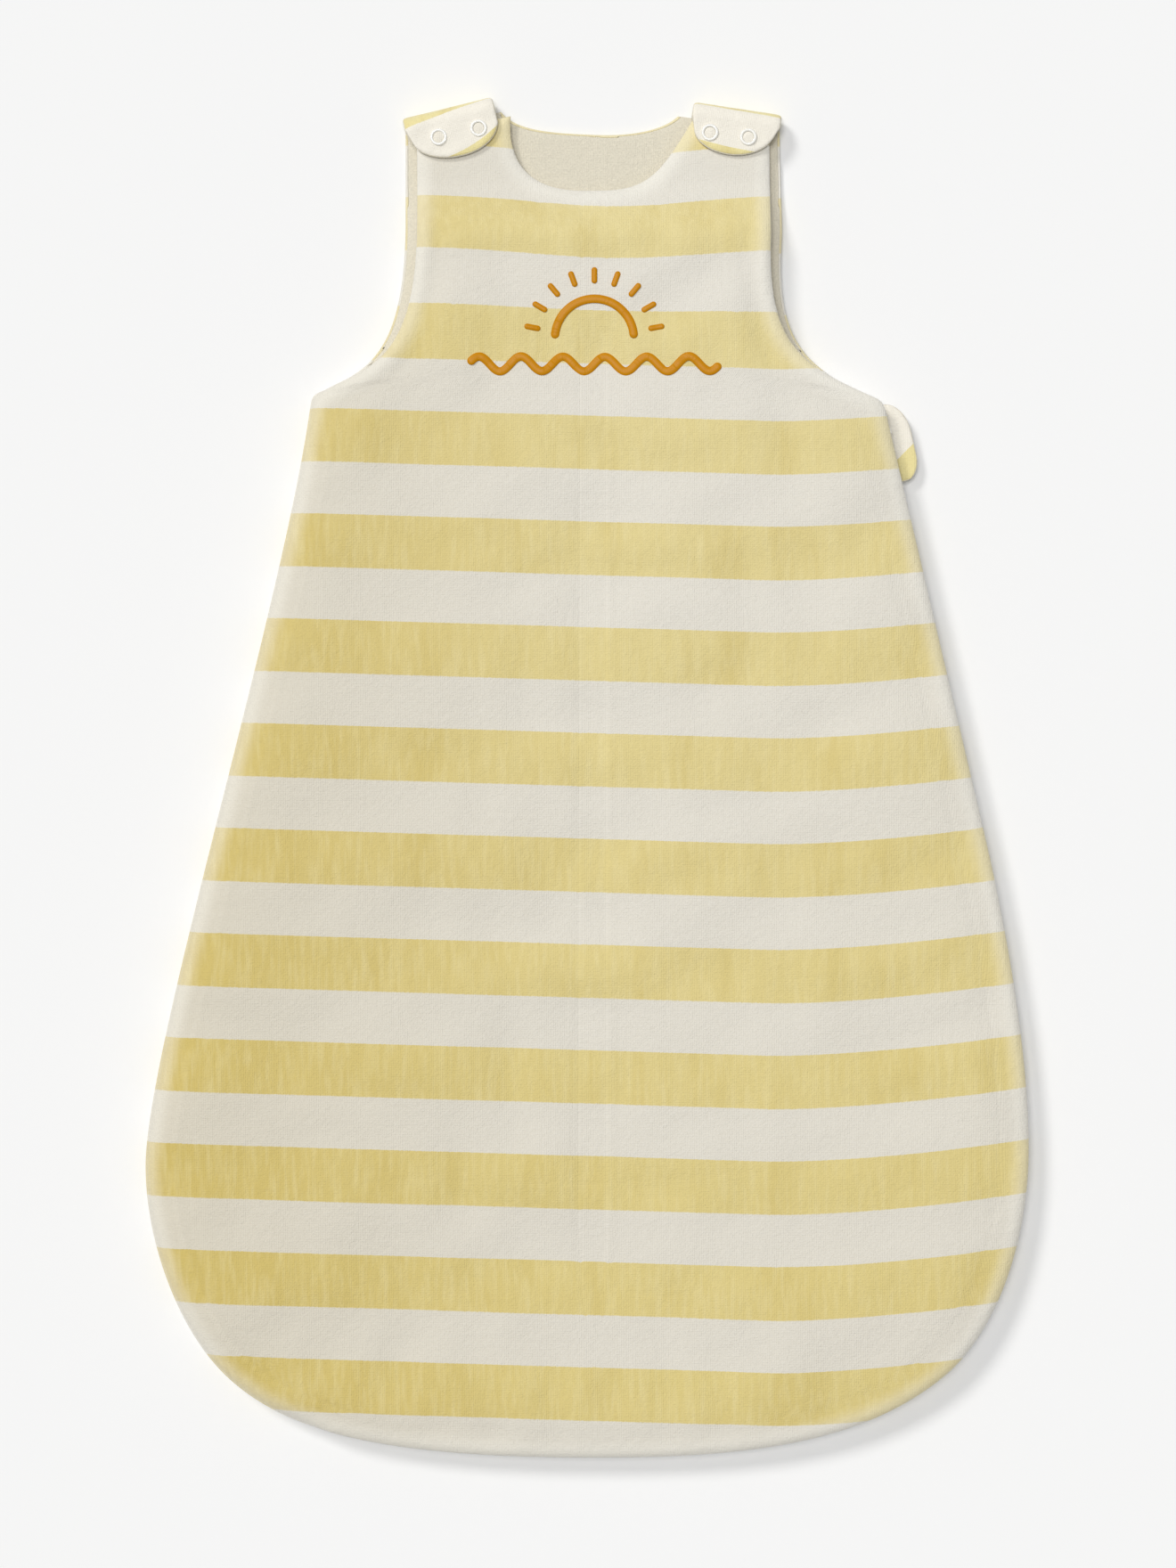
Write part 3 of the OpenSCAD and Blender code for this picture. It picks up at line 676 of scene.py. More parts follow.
def panel_sheets(grid, closed_ends, outside, inside, seams, seed):
    """The outer and inner sheet in millimetres, and each point's distance to the border.

    outside and inside are each a height on the chest and one on the strap. seams are the
    heights of the sewn and the zipped border. A sheet that lies on the floor has no relief.
    """
    flat = grid.reshape(-1, 2)
    gap, marks = nearest_border(flat, outline_of(grid, closed_ends))
    zipped, opened = marks.T
    low = sunk(flat[:, 1])
    width = BODY_ROUND + (STRAP_ROUND - BODY_ROUND) * low
    width = width * (1 - opened) + np.minimum(width, OPEN_ROUND) * opened
    turned = quarter_round(gap, width)
    out_z = outside[0] + (outside[1] - outside[0]) * low
    in_z = inside[0] + (inside[1] - inside[0]) * low
    half_way = (out_z + in_z) / 2
    seam = (1 - zipped - opened) * seams[0] + zipped * seams[1] + opened * half_way
    rise = 0 if outside[0] == 0 else relief(flat, gap, opened, low, seed)
    outer = np.column_stack([flat, seam + (out_z + rise - seam) * turned])
    inner = np.column_stack([flat, seam + (in_z - seam) * turned**0.6])
    shape = grid.shape[:3]
    return outer.reshape(*shape, 3), inner.reshape(*shape, 3), gap.reshape(shape)


back_outer, back_inner, back_gap = panel_sheets(
    back_grid, False, outside=(0.0, 0.0), inside=(BACK_TOP, 3.5), seams=(12.7, 7.6), seed=5)
front_outer, front_inner, front_gap = panel_sheets(
    front_grid, True, outside=(FRONT_TOP, 12.2), inside=(FRONT_LOW, 6.5), seams=(13.3, 18.4), seed=9)
print("front is", round(front_outer[..., 2].max(), 1), "mm high")

# %% [markdown]
# ## Cloth pieces from a grid
# These helpers turn grids into mesh. Points that fall on each other are made one, a thickness is
# given to the cloth, and the values that the jersey finish reads are stored on the mesh.

# %% Mesh helpers


def store(mesh, name, values):
    """Keeps a number, or a place, for each point of the mesh, where a finish can read it."""
    kind, key = ("FLOAT_VECTOR", "vector") if values.ndim == 2 else ("FLOAT", "value")
    kept = mesh.attributes.new(name, kind, "POINT")
    kept.data.foreach_set(key, values.astype(np.float32).ravel())


def make_piece(name, points, faces, material, bands=None, flat=None, edge=None):
    """A mesh piece from points in millimetres, dropping points that no face uses."""
    faces = [face for face in faces if len(set(face)) == len(face)]
    used = np.unique(np.concatenate([np.asarray(face) for face in faces]))
    lookup = np.full(len(points), -1)
    lookup[used] = np.arange(len(used))
    renumbered = [[int(lookup[i]) for i in face] for face in faces]
    mesh = bpy.data.meshes.new(name)
    mesh.from_pydata((points[used] * MM).tolist(), [], renumbered)
    mesh.polygons.foreach_set("use_smooth", np.ones(len(faces), bool))
    mesh.materials.append(material)
    store(mesh, "cloth", (points if flat is None else flat)[used] * MM)
    if bands is not None:
        store(mesh, "band", bands[used])
    if edge is not None:
        store(mesh, "edge", edge[used])
    mesh.validate()
    made = bpy.data.objects.new(name, mesh)
    scene.collection.objects.link(made)
    return made


def modify(piece, kind, **settings):
    """Adds one of Blender's modifiers, with its settings."""
    change = piece.modifiers.new(kind.lower(), kind)
    for key, value in settings.items():
        setattr(change, key, value)


def settle_mesh(piece):
    """Turns the piece's modifiers into mesh, so what moves with the bodies is the final shape."""
    bpy.context.view_layer.update()
    seen = piece.evaluated_get(bpy.context.evaluated_depsgraph_get())
    piece.data = bpy.data.meshes.new_from_object(seen)
    piece.modifiers.clear()
    print(piece.name, len(piece.data.vertices), "points")


def grid_faces(ids, flip=False):
    """Four-sided faces between neighbouring points of a grid of point numbers."""
    a, b, c, d = ids[:-1, :-1], ids[:-1, 1:], ids[1:, 1:], ids[1:, :-1]
    faces = np.stack([a, b, c, d], axis=-1).reshape(-1, 4)
    return faces[:, ::-1] if flip else faces


# %% A panel as one closed bag of points


def weld(outer, inner):
    """All points once each, and their numbers as [sheet, half, row, point]."""
    points = np.concatenate([outer.reshape(-1, 3), inner.reshape(-1, 3)])
    single, number = np.unique(np.round(points, 4), axis=0, return_inverse=True)
    ids = number.reshape(2, *outer.shape[:3])
    return single, ids


def panel_faces(ids, gap, up):
    """Faces of both sheets, with the gap to the border at each face's middle."""
    found = []
    for sheet in (0, 1):
        for half in (0, 1):
            flip = (half == 1) ^ (sheet == 1) ^ (not up)
            faces = grid_faces(ids[sheet, half], flip)
            g = gap[half]
            middle_gap = (g[:-1, :-1] + g[:-1, 1:] + g[1:, 1:] + g[1:, :-1]).ravel() / 4
            found.append((sheet, faces, middle_gap))
    return found


def border_gap(points, ids, gap):
    """Each point's distance to the border."""
    found = np.zeros(len(points))
    np.maximum.at(found, ids.reshape(2, -1), np.broadcast_to(gap.ravel(), (2, gap.size)))
    return found


back_points, back_ids = weld(back_outer, back_inner)
front_points, front_ids = weld(front_outer, front_inner)
back_free = border_gap(back_points, back_ids, back_gap)
front_free = border_gap(front_points, front_ids, front_gap)
back_faces = panel_faces(back_ids, back_gap, False)
front_faces = panel_faces(front_ids, front_gap, True)
print("welded", len(back_points), "and", len(front_points), "points")

# %% [markdown]
# ## Filling the front with air
# Padded fabric gets its soft look from cloth that is a little too large for what it covers. Here
# the welded front is simulated as cloth with a light pressure inside, held at its seams and
# loosely in the middle, as the wadding holds it. Each point may then move only a few
# millimetres, so the bag keeps its size, and the move is averaged over cells of cloth.

# %% Cloth simulation of a panel
PRESSURE = 4.0
LONGEST_MOVE = 2.6
SETTLE_FRAMES = 20


def fill_with_air(points, faces, hold):
    """Where each point comes to rest when the panel is blown up a little."""
    quads = np.concatenate([f for _, f, _ in faces])
    quads = [q for q in quads.tolist() if len(set(q)) == 4]
    trial = make_piece("trial", points, quads, wadding)
    group = trial.vertex_groups.new(name="held")
    for i, share in enumerate(hold):
        group.add([i], float(share), "REPLACE")
    cloth = trial.modifiers.new("cloth", "CLOTH")
    cloth.settings.quality = 4
    cloth.settings.mass = 0.2
    cloth.settings.use_pressure = True
    cloth.settings.uniform_pressure_force = PRESSURE
    cloth.settings.vertex_group_mass = "held"
    cloth.settings.pin_stiffness = 4.0
    cloth.settings.shrink_min = -0.03
    cloth.settings.tension_stiffness = 12
    cloth.settings.bending_stiffness = 0.4
    cloth.settings.effector_weights.gravity = 0
    cloth.collision_settings.use_collision = False
    for number in range(1, SETTLE_FRAMES + 1):
        scene.frame_set(number)
    seen = trial.evaluated_get(bpy.context.evaluated_depsgraph_get())
    moved = np.array([v.co for v in seen.data.vertices]) / MM
    scene.frame_set(1)
    bpy.data.objects.remove(trial)
    return moved


# %% Smooth what the simulation gives
CELL = 6.0
HELD_BY_WADDING = 0.12
AT_SEAM = 0.2


def spread_out(points, rise, upper):
    """The rise of one sheet averaged over cells of cloth, so close rows of points don't buckle."""
    low = points[:, :2].min(axis=0) - 2 * CELL
    size = ((points[:, :2].max(axis=0) + 3 * CELL - low) / CELL).astype(int)
    place = (points[:, :2] - low) / CELL
    near = np.round(place).astype(int)
    total, count = np.zeros(size), np.zeros(size)
    np.add.at(total, tuple(near[upper].T), rise[upper])
    np.add.at(count, tuple(near[upper].T), 1)
    for _ in range(2):
        for field_axis in (0, 1):
            total = (np.roll(total, 1, field_axis) + 2 * total + np.roll(total, -1, field_axis)) / 4
            count = (np.roll(count, 1, field_axis) + 2 * count + np.roll(count, -1, field_axis)) / 4
    field = total / np.maximum(count, 1e-6)
    corner = np.floor(place).astype(int)
    part = place - corner
    value = np.zeros(len(points))
    for i in (0, 1):
        for j in (0, 1):
            share = np.abs(1 - i - part[:, 0]) * np.abs(1 - j - part[:, 1])
            value += share * field[corner[:, 0] + i, corner[:, 1] + j]
    return value


def nudge(points, moved, gap, upper):
    """The simulated rise of each sheet, smoothed, no more than the cap, and none at the seams."""
    rise = np.clip(moved[:, 2] - points[:, 2], -LONGEST_MOVE, LONGEST_MOVE)
    print("cloth rose", round(float(rise.mean()), 2), "mm on average")
    smoothed = np.where(upper, spread_out(points, rise, upper), spread_out(points, rise, ~upper))
    settled = points.copy()
    settled[:, 2] += smoothed * smooth((gap - 1) / 16) * (1 - sunk(points[:, 1]))
    return settled


low_shoulder = sunk(front_points[:, 1])
loose = np.clip(HELD_BY_WADDING + 0.9 * low_shoulder, 0, 1)
hold = np.where(front_free < AT_SEAM, 1.0, loose)
outer_sheet = np.zeros(len(front_points), bool)
outer_sheet[np.unique(front_ids[0])] = True
moved = fill_with_air(front_points, front_faces, hold)
front_points = nudge(front_points, moved, front_free, outer_sheet)

# %% [markdown]
# ## Outer cloth, lining and wadding
# The outer cloth covers the outside and rolls just over the edge, where it is sewn to the
# lining. That roll is what shows as a fine line along the back of the neck. Each sheet is given
# the thickness of jersey, 0.8 mm, inwards.

# %% Make the sheets of one panel
CLOTH_THICK = 0.8 * MM
ROLLED = 1.3


def thicken(piece, thickness, offset):
    """Gives a single sheet its thickness, rounds it once and makes that its mesh."""
    modify(piece, "SOLIDIFY", thickness=thickness, offset=offset)
    modify(piece, "SUBSURF", levels=1, render_levels=1)
    settle_mesh(piece)


def panel_cloths(shell_name, lining_name, points, faces, free):
    """The outer cloth, with its roll over the edge, and the lining that fills the rest."""
    bands = stripe_count(points[:, 0], points[:, 1])
    edge = 1 - smooth((free - 3) / 9)
    shell_faces, lining_faces = [], []
    for inside, quads, gap in faces:
        in_shell = (gap < ROLLED) | (not inside)
        shell_faces.append(quads[in_shell])
        lining_faces.append(quads[~in_shell])
    shell = make_piece(
        shell_name, points, np.concatenate(shell_faces).tolist(), striped_jersey, bands, None, edge)
    thicken(shell, CLOTH_THICK, -1.0)
    lining = make_piece(
        lining_name, points, np.concatenate(lining_faces).tolist(), lining_jersey, bands, None, edge)
    thicken(lining, CLOTH_THICK, -1.0)
    return shell, lining


front_shell, front_lining = panel_cloths(
    "front_shell", "front_lining", front_points, front_faces, front_free)
back_shell, back_lining = panel_cloths(
    "back_shell_cloth", "back_lining_cloth", back_points, back_faces, back_free)

# %% Wadding between the sheets
WADDING_IN = 2.4
WADDING_CLEAR = 1.3


def wadding_layer(name, points, ids, gap, up):
    """A closed layer a little inside both sheets, ending short of the seams.

    An edge that only one face uses is on the rim, where a wall joins the two sides.
    """
    faces = []
    edges = {}
    number = len(points)
    side = 1 if up else -1
    layers = [points.copy(), points.copy()]
    layers[0][:, 2] -= side * WADDING_CLEAR
    layers[1][:, 2] += side * WADDING_CLEAR
    twin = {}
    for half in (0, 1):
        for outer_id, inner_id in zip(ids[0, half].ravel(), ids[1, half].ravel()):
            twin[int(outer_id)] = int(inner_id)
        far = gap[half] > WADDING_IN
        keep = (far[:-1, :-1] & far[:-1, 1:] & far[1:, 1:] & far[1:, :-1]).ravel()
        for quad in grid_faces(ids[0, half], (half == 1) != (not up))[keep].tolist():
            faces.append(quad)
            faces.append([number + twin[i] for i in quad[::-1]])
            for a, b in zip(quad, quad[1:] + quad[:1]):
                if (b, a) in edges:
                    del edges[(b, a)]
                else:
                    edges[(a, b)] = True
    for a, b in edges:
        faces.append([b, a, number + twin[a], number + twin[b]])
    return make_piece(name, np.vstack(layers), faces, wadding)


front_wadding = wadding_layer("front_wadding", front_points, front_ids, front_gap, True)
back_wadding = wadding_layer("back_wadding_layer", back_points, back_ids, back_gap, False)
print("wadding", len(front_wadding.data.polygons), "and", len(back_wadding.data.polygons), "faces")

# %% [markdown]
# ## How the panels move
# The back lies still. The front is one cloth, and the frame folds its unzipped corner back along
# a straight crease. Here the front's pieces are only fixed in place and do not bend.

# %% Ride, and the crease
CREASE_TOP = np.array([172, 150]) * MM
CREASE_LOW = np.array([-150, -358]) * MM
crease_run = unit(CREASE_TOP - CREASE_LOW)
crease_across = np.array([crease_run[1], -crease_run[0]])
print("the crease is", round(float(np.linalg.norm(CREASE_TOP - CREASE_LOW)), 3), "m long")


def bend_at_crease(piece):
    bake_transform(piece)


for piece in (front_shell, front_lining, front_wadding):
    bend_at_crease(piece)
for piece in (back_shell, back_lining, back_wadding):
    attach(piece, "bag")
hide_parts("front_shell_chest", "front_shell_flap")
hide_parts("front_lining_chest", "front_lining_flap")
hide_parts("front_wadding_chest", "front_wadding_flap")
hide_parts("back_shell")
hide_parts("back_lining")
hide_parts("back_wadding")

# %% [markdown]
# ## Shoulder tabs
# Each tab is one long strip. It starts inside the back strap, turns over the shoulder in a half
# round, and lies on the front strap, where its end is cut round. It is made as a middle surface
# with a thickness that shrinks to nothing at the edges, so the edges come out rolled. The
# distance from the shoulder's outline is called `down`, and the place along the fold `along`.

# %% The path of a tab's middle surface
FOLD_OUTER = 8.0
TAB_THICK = 3.5
FOLD_MIDDLE = FOLD_OUTER - TAB_THICK / 2
TUCK = 7.0


def fold_place(length):
    """Where a point lies after that length of cloth: how far in, how high, and the way out."""
    bend = math.pi * FOLD_MIDDLE
    turn = np.clip((length - TUCK) / bend, 0, 1) * math.pi
    before = np.clip(TUCK - length, 0, None)
    after = np.clip(length - TUCK - bend, 0, None)
    down = FOLD_OUTER - FOLD_MIDDLE * np.sin(turn) + before + after
    height = FOLD_OUTER - FOLD_MIDDLE * np.cos(turn)
    outward = np.stack([-np.sin(turn), -np.cos(turn)], axis=-1)
    return down, height, outward


# %% Make a tab's two cloths
ACROSS_TAB = 44
DOWN_TAB = 64
TAB_SEAM = 0.42
TAB_ROUND = 3.2
TAB_JERSEY = 0.7 * MM


def tab_sheets(axis, end_curve, lean, seed):
    """The sheets of a tab, each point's gap to the edge, where it lay flat, and along and down.

    end_curve is the rounded end as places along and down. lean lifts the rim
    where the tab lies on the front.
    """
    start, stop = sorted(axis, key=lambda spot: spot[0])
    along_way = unit(stop - start)
    inward = np.array([along_way[1], -along_way[0]])
    corner = start - inward * FOLD_OUTER
    width = np.linalg.norm(stop - start)
    turn = np.linspace(0, math.pi, ACROSS_TAB)
    share = (1 - np.cos(turn)) / 2
    share = share * 0.6 + np.linspace(0, 1, ACROSS_TAB) * 0.4
    ends = bezier([np.array(p, float) for p in end_curve], share)
    bend = math.pi * FOLD_MIDDLE
    edge_row = 1 - (1 - np.linspace(0, 1, DOWN_TAB)) ** 1.5
    reach = TUCK + bend + ends[:, 1] - FOLD_OUTER
    length = edge_row[:, None] * reach[None, :]
    down, height, outward = fold_place(length)
    past = np.clip((down - FOLD_OUTER) / np.maximum(ends[:, 1] - FOLD_OUTER, 1), 0, 1)
    past = past * (height > FOLD_OUTER)
    along = share[None, :] * width * (1 - past) + ends[None, :, 0] * past
    gap = np.minimum(np.minimum(share, 1 - share)[None, :] * width, reach[None, :] - length)
    thick = quarter_round(gap, TAB_ROUND) * TAB_THICK / 2
    lift = soft_noise(along, length, 34, 30, seed, 8) * 0.22
    lift = lift * smooth(gap / 5) * smooth((length - TUCK) / 8)
    lift = lift + lean * smooth((length - TUCK - bend) / 14) * (1 - smooth(gap / 6)) * 0.8
    sheets = []
    for side in (1, -1):
        move = thick * side
        in_by = down + outward[..., 0] * (move + lift * 0.3)
        up_by = height + outward[..., 1] * move + np.abs(outward[..., 1]) * lift
        flat = corner + along[..., None] * along_way + in_by[..., None] * inward
        sheets.append(np.concatenate([flat, up_by[..., None]], axis=-1))
    lay = np.stack([along, -length, np.zeros_like(length)], axis=-1)
    return sheets, gap, lay, along, length - TUCK - bend + FOLD_OUTER


def tab_cloths(name, sheets, gap, lay, bands):
    """The outer cloth and the facing of a tab, meeting a little way in on the outer side."""
    rows, columns = gap.shape
    points = np.concatenate([s.reshape(-1, 3) for s in sheets])
    laid = np.concatenate([lay.reshape(-1, 3)] * 2)
    phase = np.concatenate([bands.ravel()] * 2)
    single, first, number = np.unique(np.round(points, 4), axis=0, return_index=True, return_inverse=True)
    number = number.reshape(2, rows, columns)
    middle_gap = (gap[:-1, :-1] + gap[1:, 1:]) / 2
    quads = [grid_faces(number[0], True), grid_faces(number[1])]
    shell_quads = quads[0][(middle_gap >= TAB_SEAM).ravel()]
    facing_quads = np.concatenate([quads[0][(middle_gap < TAB_SEAM).ravel()], quads[1]])
    made = []
    parts = (("cloth", shell_quads, tab_jersey), ("facing", facing_quads, lining_jersey))
    for part, chosen, finish in parts:
        piece = make_piece(f"{name}_{part}", single, chosen.tolist(), finish, phase[first], laid[first])
        thicken(piece, TAB_JERSEY, -1.0)
        made.append(piece)
    return made


# %% Left and right tabs
LEFT_END = [(3.3, 16.5), (7, 31), (46, 35), (51.2, 15)]
RIGHT_END = [(2.5, 15), (3.5, 30), (42, 33), (47.6, 11)]
CREAM_SHARE = 1 - YELLOW_SHARE


def tab_bands(down, first_edge, second_edge):
    """The stripe count on a tab, from where its first band ends and its second begins."""
    return YELLOW_SHARE + CREAM_SHARE * (down - first_edge) / (second_edge - first_edge)


sheets, gap, left_pattern, along, down = tab_sheets(LEFT_AXIS, LEFT_END, lean=0.5, seed=21)
second_edge = 26.4 - 0.2 * (along - 26) - 0.008 * (along - 26) ** 2
bands = tab_bands(down, 7.2 - 0.13 * along, second_edge)
left_tab = tab_cloths("left_tab", sheets, gap, left_pattern, bands)
sheets, gap, right_pattern, along, down = tab_sheets(RIGHT_AXIS, RIGHT_END, lean=0.2, seed=23)
second_edge = 20.9 + 0.14 * (along - 6.7) - 0.0022 * (along - 6.7) ** 2
bands = tab_bands(down, 1.6 + 0.03 * along, second_edge)
right_tab = tab_cloths("right_tab", sheets, gap, right_pattern, bands)

# %% [markdown]
# A tab turns about the shoulder. Here each tab's cloths are only fixed in place, and the frame's
# solids for the tab and its fold are hidden.

# %% Set each tab in place
for side, (cloth, facing) in (("left", left_tab), ("right", right_tab)):
    for piece in (cloth, facing):
        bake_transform(piece)
    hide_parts(f"{side}_tab_shell", f"{side}_shoulder_fold")
    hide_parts(f"{side}_tab_lining")

# %% [markdown]
# ## Ring snaps
# A jersey snap is a ring with small teeth that bite through the cloth, so the cloth shows in its
# open middle. The frame's rings, sockets and studs already have the right shape, so they stay and
# get enamel: a hard, slightly uneven gloss. The cloth in the middle of each ring is pushed up
# into a low dome, and that is the only piece made here.

# %% Enamel
enamel = Finish("enamel", {"Base Color": tone(240, 238, 231), "Coat Weight": 0.3})
spot = Value(enamel, enamel.node("ShaderNodeTexCoord", {}, {}).outputs["Object"])
cloudy = enamel.noise(spot, 700, 2.0)
enamel.bump(cloudy, 0.00004, 0.4)
enamel.fill(enamel.shader, {"Roughness": cloudy * 0.2 + 0.2})


def enamelled(node_name):
    """Gives a solid of the frame the enamel finish."""
    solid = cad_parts[node_name]
    solid.data.materials.clear()
    solid.data.materials.append(enamel.material)


for side in ("left", "right"):
    for part in ("tab_snap_rings", "tab_snap_sockets", "strap_studs", "strap_stud_rings"):
        enamelled(f"{side}_{part}")

# %% The cloth in each ring
RING_HOLE = 6.0
TAB_TOP = 16.0
DOME_RINGS = 9
DOME_AROUND = 40
DOME_RISE = 0.45
IN_CREAM = 0.8
left_snaps = [at(-81.8, 351.8), at(-59.8, 356.7)]
right_snaps = [at(88.7, 351.8), at(67.6, 354.3)]


def domed_cloth(name, middle_point, radius, base, rise):
    """A round patch of cloth, highest in the middle, with its edge tucked under the ring."""
    around = DOME_AROUND
    turn = np.linspace(0, 2 * math.pi, around + 1)[:-1]
    points = [[middle_point[0], middle_point[1], base + rise]]
    for r in np.linspace(0, 1, DOME_RINGS + 1)[1:]:
        height = base + rise * math.cos(r * math.pi / 2) ** 0.8 - 0.5 * (r > 0.99)
        ring = middle_point + radius * r * np.column_stack([np.cos(turn), np.sin(turn)])
        points += [[*spot, height] for spot in ring]
    faces = [[0, 1 + i, 1 + (i + 1) % around] for i in range(around)]
    for k in range(DOME_RINGS - 1):
        low, high = 1 + k * around, 1 + (k + 1) * around
        for i in range(around):
            j = (i + 1) % around
            faces.append([low + i, high + i, high + j, low + j])
    points = np.array(points)
    return make_piece(name, points, faces, tab_jersey, np.full(len(points), IN_CREAM))


snap_cloths = {"left": [], "right": []}
for side, snaps in (("left", left_snaps), ("right", right_snaps)):
    for i, snap in enumerate(snaps):
        radius = RING_HOLE / 2 + 0.15
        patch = domed_cloth(f"{side}_snap_cloth_{i + 1}", snap, radius, TAB_TOP + 0.1, DOME_RISE)
        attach(patch, f"{side}_tab")
        snap_cloths[side].append(patch)
print("cloth in", sum(len(found) for found in snap_cloths.values()), "rings")

# %% [markdown]
# ## Zip guard
# A small padded tab covers the top of the zip at the right underarm. It is one more pair of cloths
# with rolled edges, sewn into the side seam along its inner edge.

# %% Shape of the guard
side_run = unit(SIDE_END - RIGHT_UNDERARM)
side_out = np.array([-side_run[1], side_run[0]])
GUARD_LONG = 44.0
GUARD_WIDE = 12.0
GUARD_MIDDLE = 7.6
GUARD_THICK = 2.4
GUARD_ROUND = 2.2
SEWN_IN = 1.5


def guard_edge(down):
    """How far the guard stands out at each distance below the underarm."""
    top = quarter_round(down, 18)
    low = quarter_round(GUARD_LONG - down, 13)
    return GUARD_WIDE * np.minimum(top, 0.25 + 0.75 * low)


# %% Make the guard
rows = (1 - np.cos(np.linspace(0, math.pi, 46))) / 2 * GUARD_LONG
share = np.sin(np.linspace(0, math.pi / 2, 16))
wide = guard_edge(rows)[:, None] + SEWN_IN
out = -SEWN_IN + wide * share[None, :]
down = np.broadcast_to(rows[:, None], out.shape)
gap = np.minimum(np.minimum(down, GUARD_LONG - down), (1 - share[None, :]) * wide)
thick = quarter_round(gap, GUARD_ROUND) * GUARD_THICK / 2
spots = RIGHT_UNDERARM + (down[..., None] + 1) * side_run + out[..., None] * side_out
puff = soft_noise(out, down, 14, 20, 31, 6) * 0.15
guard_sheets = []
for side in (1, -1):
    height = GUARD_MIDDLE + side * thick + puff
    guard_sheets.append(np.concatenate([spots, height[..., None]], axis=-1))
BAND_STARTS = at(170.5, 174)
BAND_WAY = np.array([0.711, -0.702])
guard_bands = 1 + ((spots - BAND_STARTS) * BAND_WAY).sum(axis=-1) / STRIPE_STEP
guard_lay = np.concatenate([spots, np.zeros_like(out)[..., None]], axis=-1)
guard = tab_cloths("zip_guard", guard_sheets, gap, guard_lay, guard_bands)
for piece in guard:
    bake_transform(piece)
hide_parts("zip_guard_flap")
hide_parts("zip_guard_base")

# %% [markdown]
# ## Embroidery
# Satin stitch lays threads side by side across a line, packed so close that they stand up in a
# smooth ridge. The ridge is one mesh strip, high in the middle, with a groove between each
# thread and the next, slanted a little as the machine lays them. The motif is a plain half sun
# over a plain wave.

# %% Thread finish
thread = Finish("satin_thread", {"Roughness": 0.4, "Specular IOR Level": 0.18})
place = thread.attribute("cloth", "Vector")
fibre = thread.noise(place, 2600, 2.0)
thread.bump(fibre, 0.00008, 0.6)
thread.fill(thread.shader, {"Base Color": thread.mix(fibre, tone(188, 122, 0), tone(208, 142, 0))})

# %% Satin stitch along a line
THREAD_PITCH = 0.42
THREAD_SLANT = 0.35
GROOVE_SHARE = 0.14
STITCH_HIGH = 1.0
ABOVE_CLOTH = 0.15


def front_height(spots):
    """The height of the front cloth under each point, from the nearest points of its grid."""
    top = front_points[np.unique(front_ids[0])]
    found = []
    for spot in spots:
        far = ((top[:, :2] - spot) ** 2).sum(axis=1)
        near = np.argpartition(far, 4)[:4]
        share = 1 / (far[near] + 0.5)
        found.append((top[near, 2] * share).sum() / share.sum())
    return np.array(found)


def satin(line, width):
    """A ridge of close threads along a line, with round ends."""
    long = np.concatenate([[0], np.cumsum(np.linalg.norm(np.diff(line, axis=0), axis=1))])
    count = max(8, int(long[-1] / THREAD_PITCH * 4))
    s = np.linspace(0, long[-1], count)
    spots = np.column_stack([np.interp(s, long, line[:, 0]), np.interp(s, long, line[:, 1])])
    ahead = unit(np.gradient(spots, axis=0))
    sideways = np.column_stack([-ahead[:, 1], ahead[:, 0]])
    end_gap = np.minimum(s, long[-1] - s)
    wide = width * np.sqrt(np.clip(1 - (1 - np.clip(end_gap / (width / 2), 0, 1)) ** 2, 0.02, 1))
    turn = np.linspace(-math.pi / 2, math.pi / 2, 11)
    ground = np.interp(s, s[::6], front_height(spots[::6]))
    offset = np.sin(turn)[None, :] * wide[:, None] / 2
    groove = np.abs(np.sin(math.pi * (s[:, None] + offset * THREAD_SLANT) / THREAD_PITCH))
    arch = np.cos(turn)[None, :] * STITCH_HIGH * (wide / width)[:, None]
    height = ground[:, None] + ABOVE_CLOTH + arch * (1 - GROOVE_SHARE + GROOVE_SHARE * groove)
    flat = spots[:, None] + sideways[:, None] * offset[..., None]
    return np.concatenate([flat, height[..., None]], axis=-1)


def embroidery(name, strips, replaced):
    """One piece from satin ridges, each closed by a flat underside and two ends."""
    points, faces, start = [], [], 0
    for strip in strips:
        rows, columns = strip.shape[:2]
        ids = start + np.arange(rows * columns).reshape(rows, columns)
        faces += grid_faces(ids, True).tolist()
        faces += [[int(i) for i in ids[0]], [int(i) for i in ids[-1][::-1]]]
        under = np.column_stack([ids[:-1, 0], ids[1:, 0], ids[1:, -1], ids[:-1, -1]])
        faces += under.tolist()
        points.append(strip.reshape(-1, 3))
        start += rows * columns
    piece = make_piece(name, np.vstack(points), faces, thread.material)
    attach(piece, "bag")
    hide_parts(replaced)
    print(name, len(strips), "lines,", start, "points")


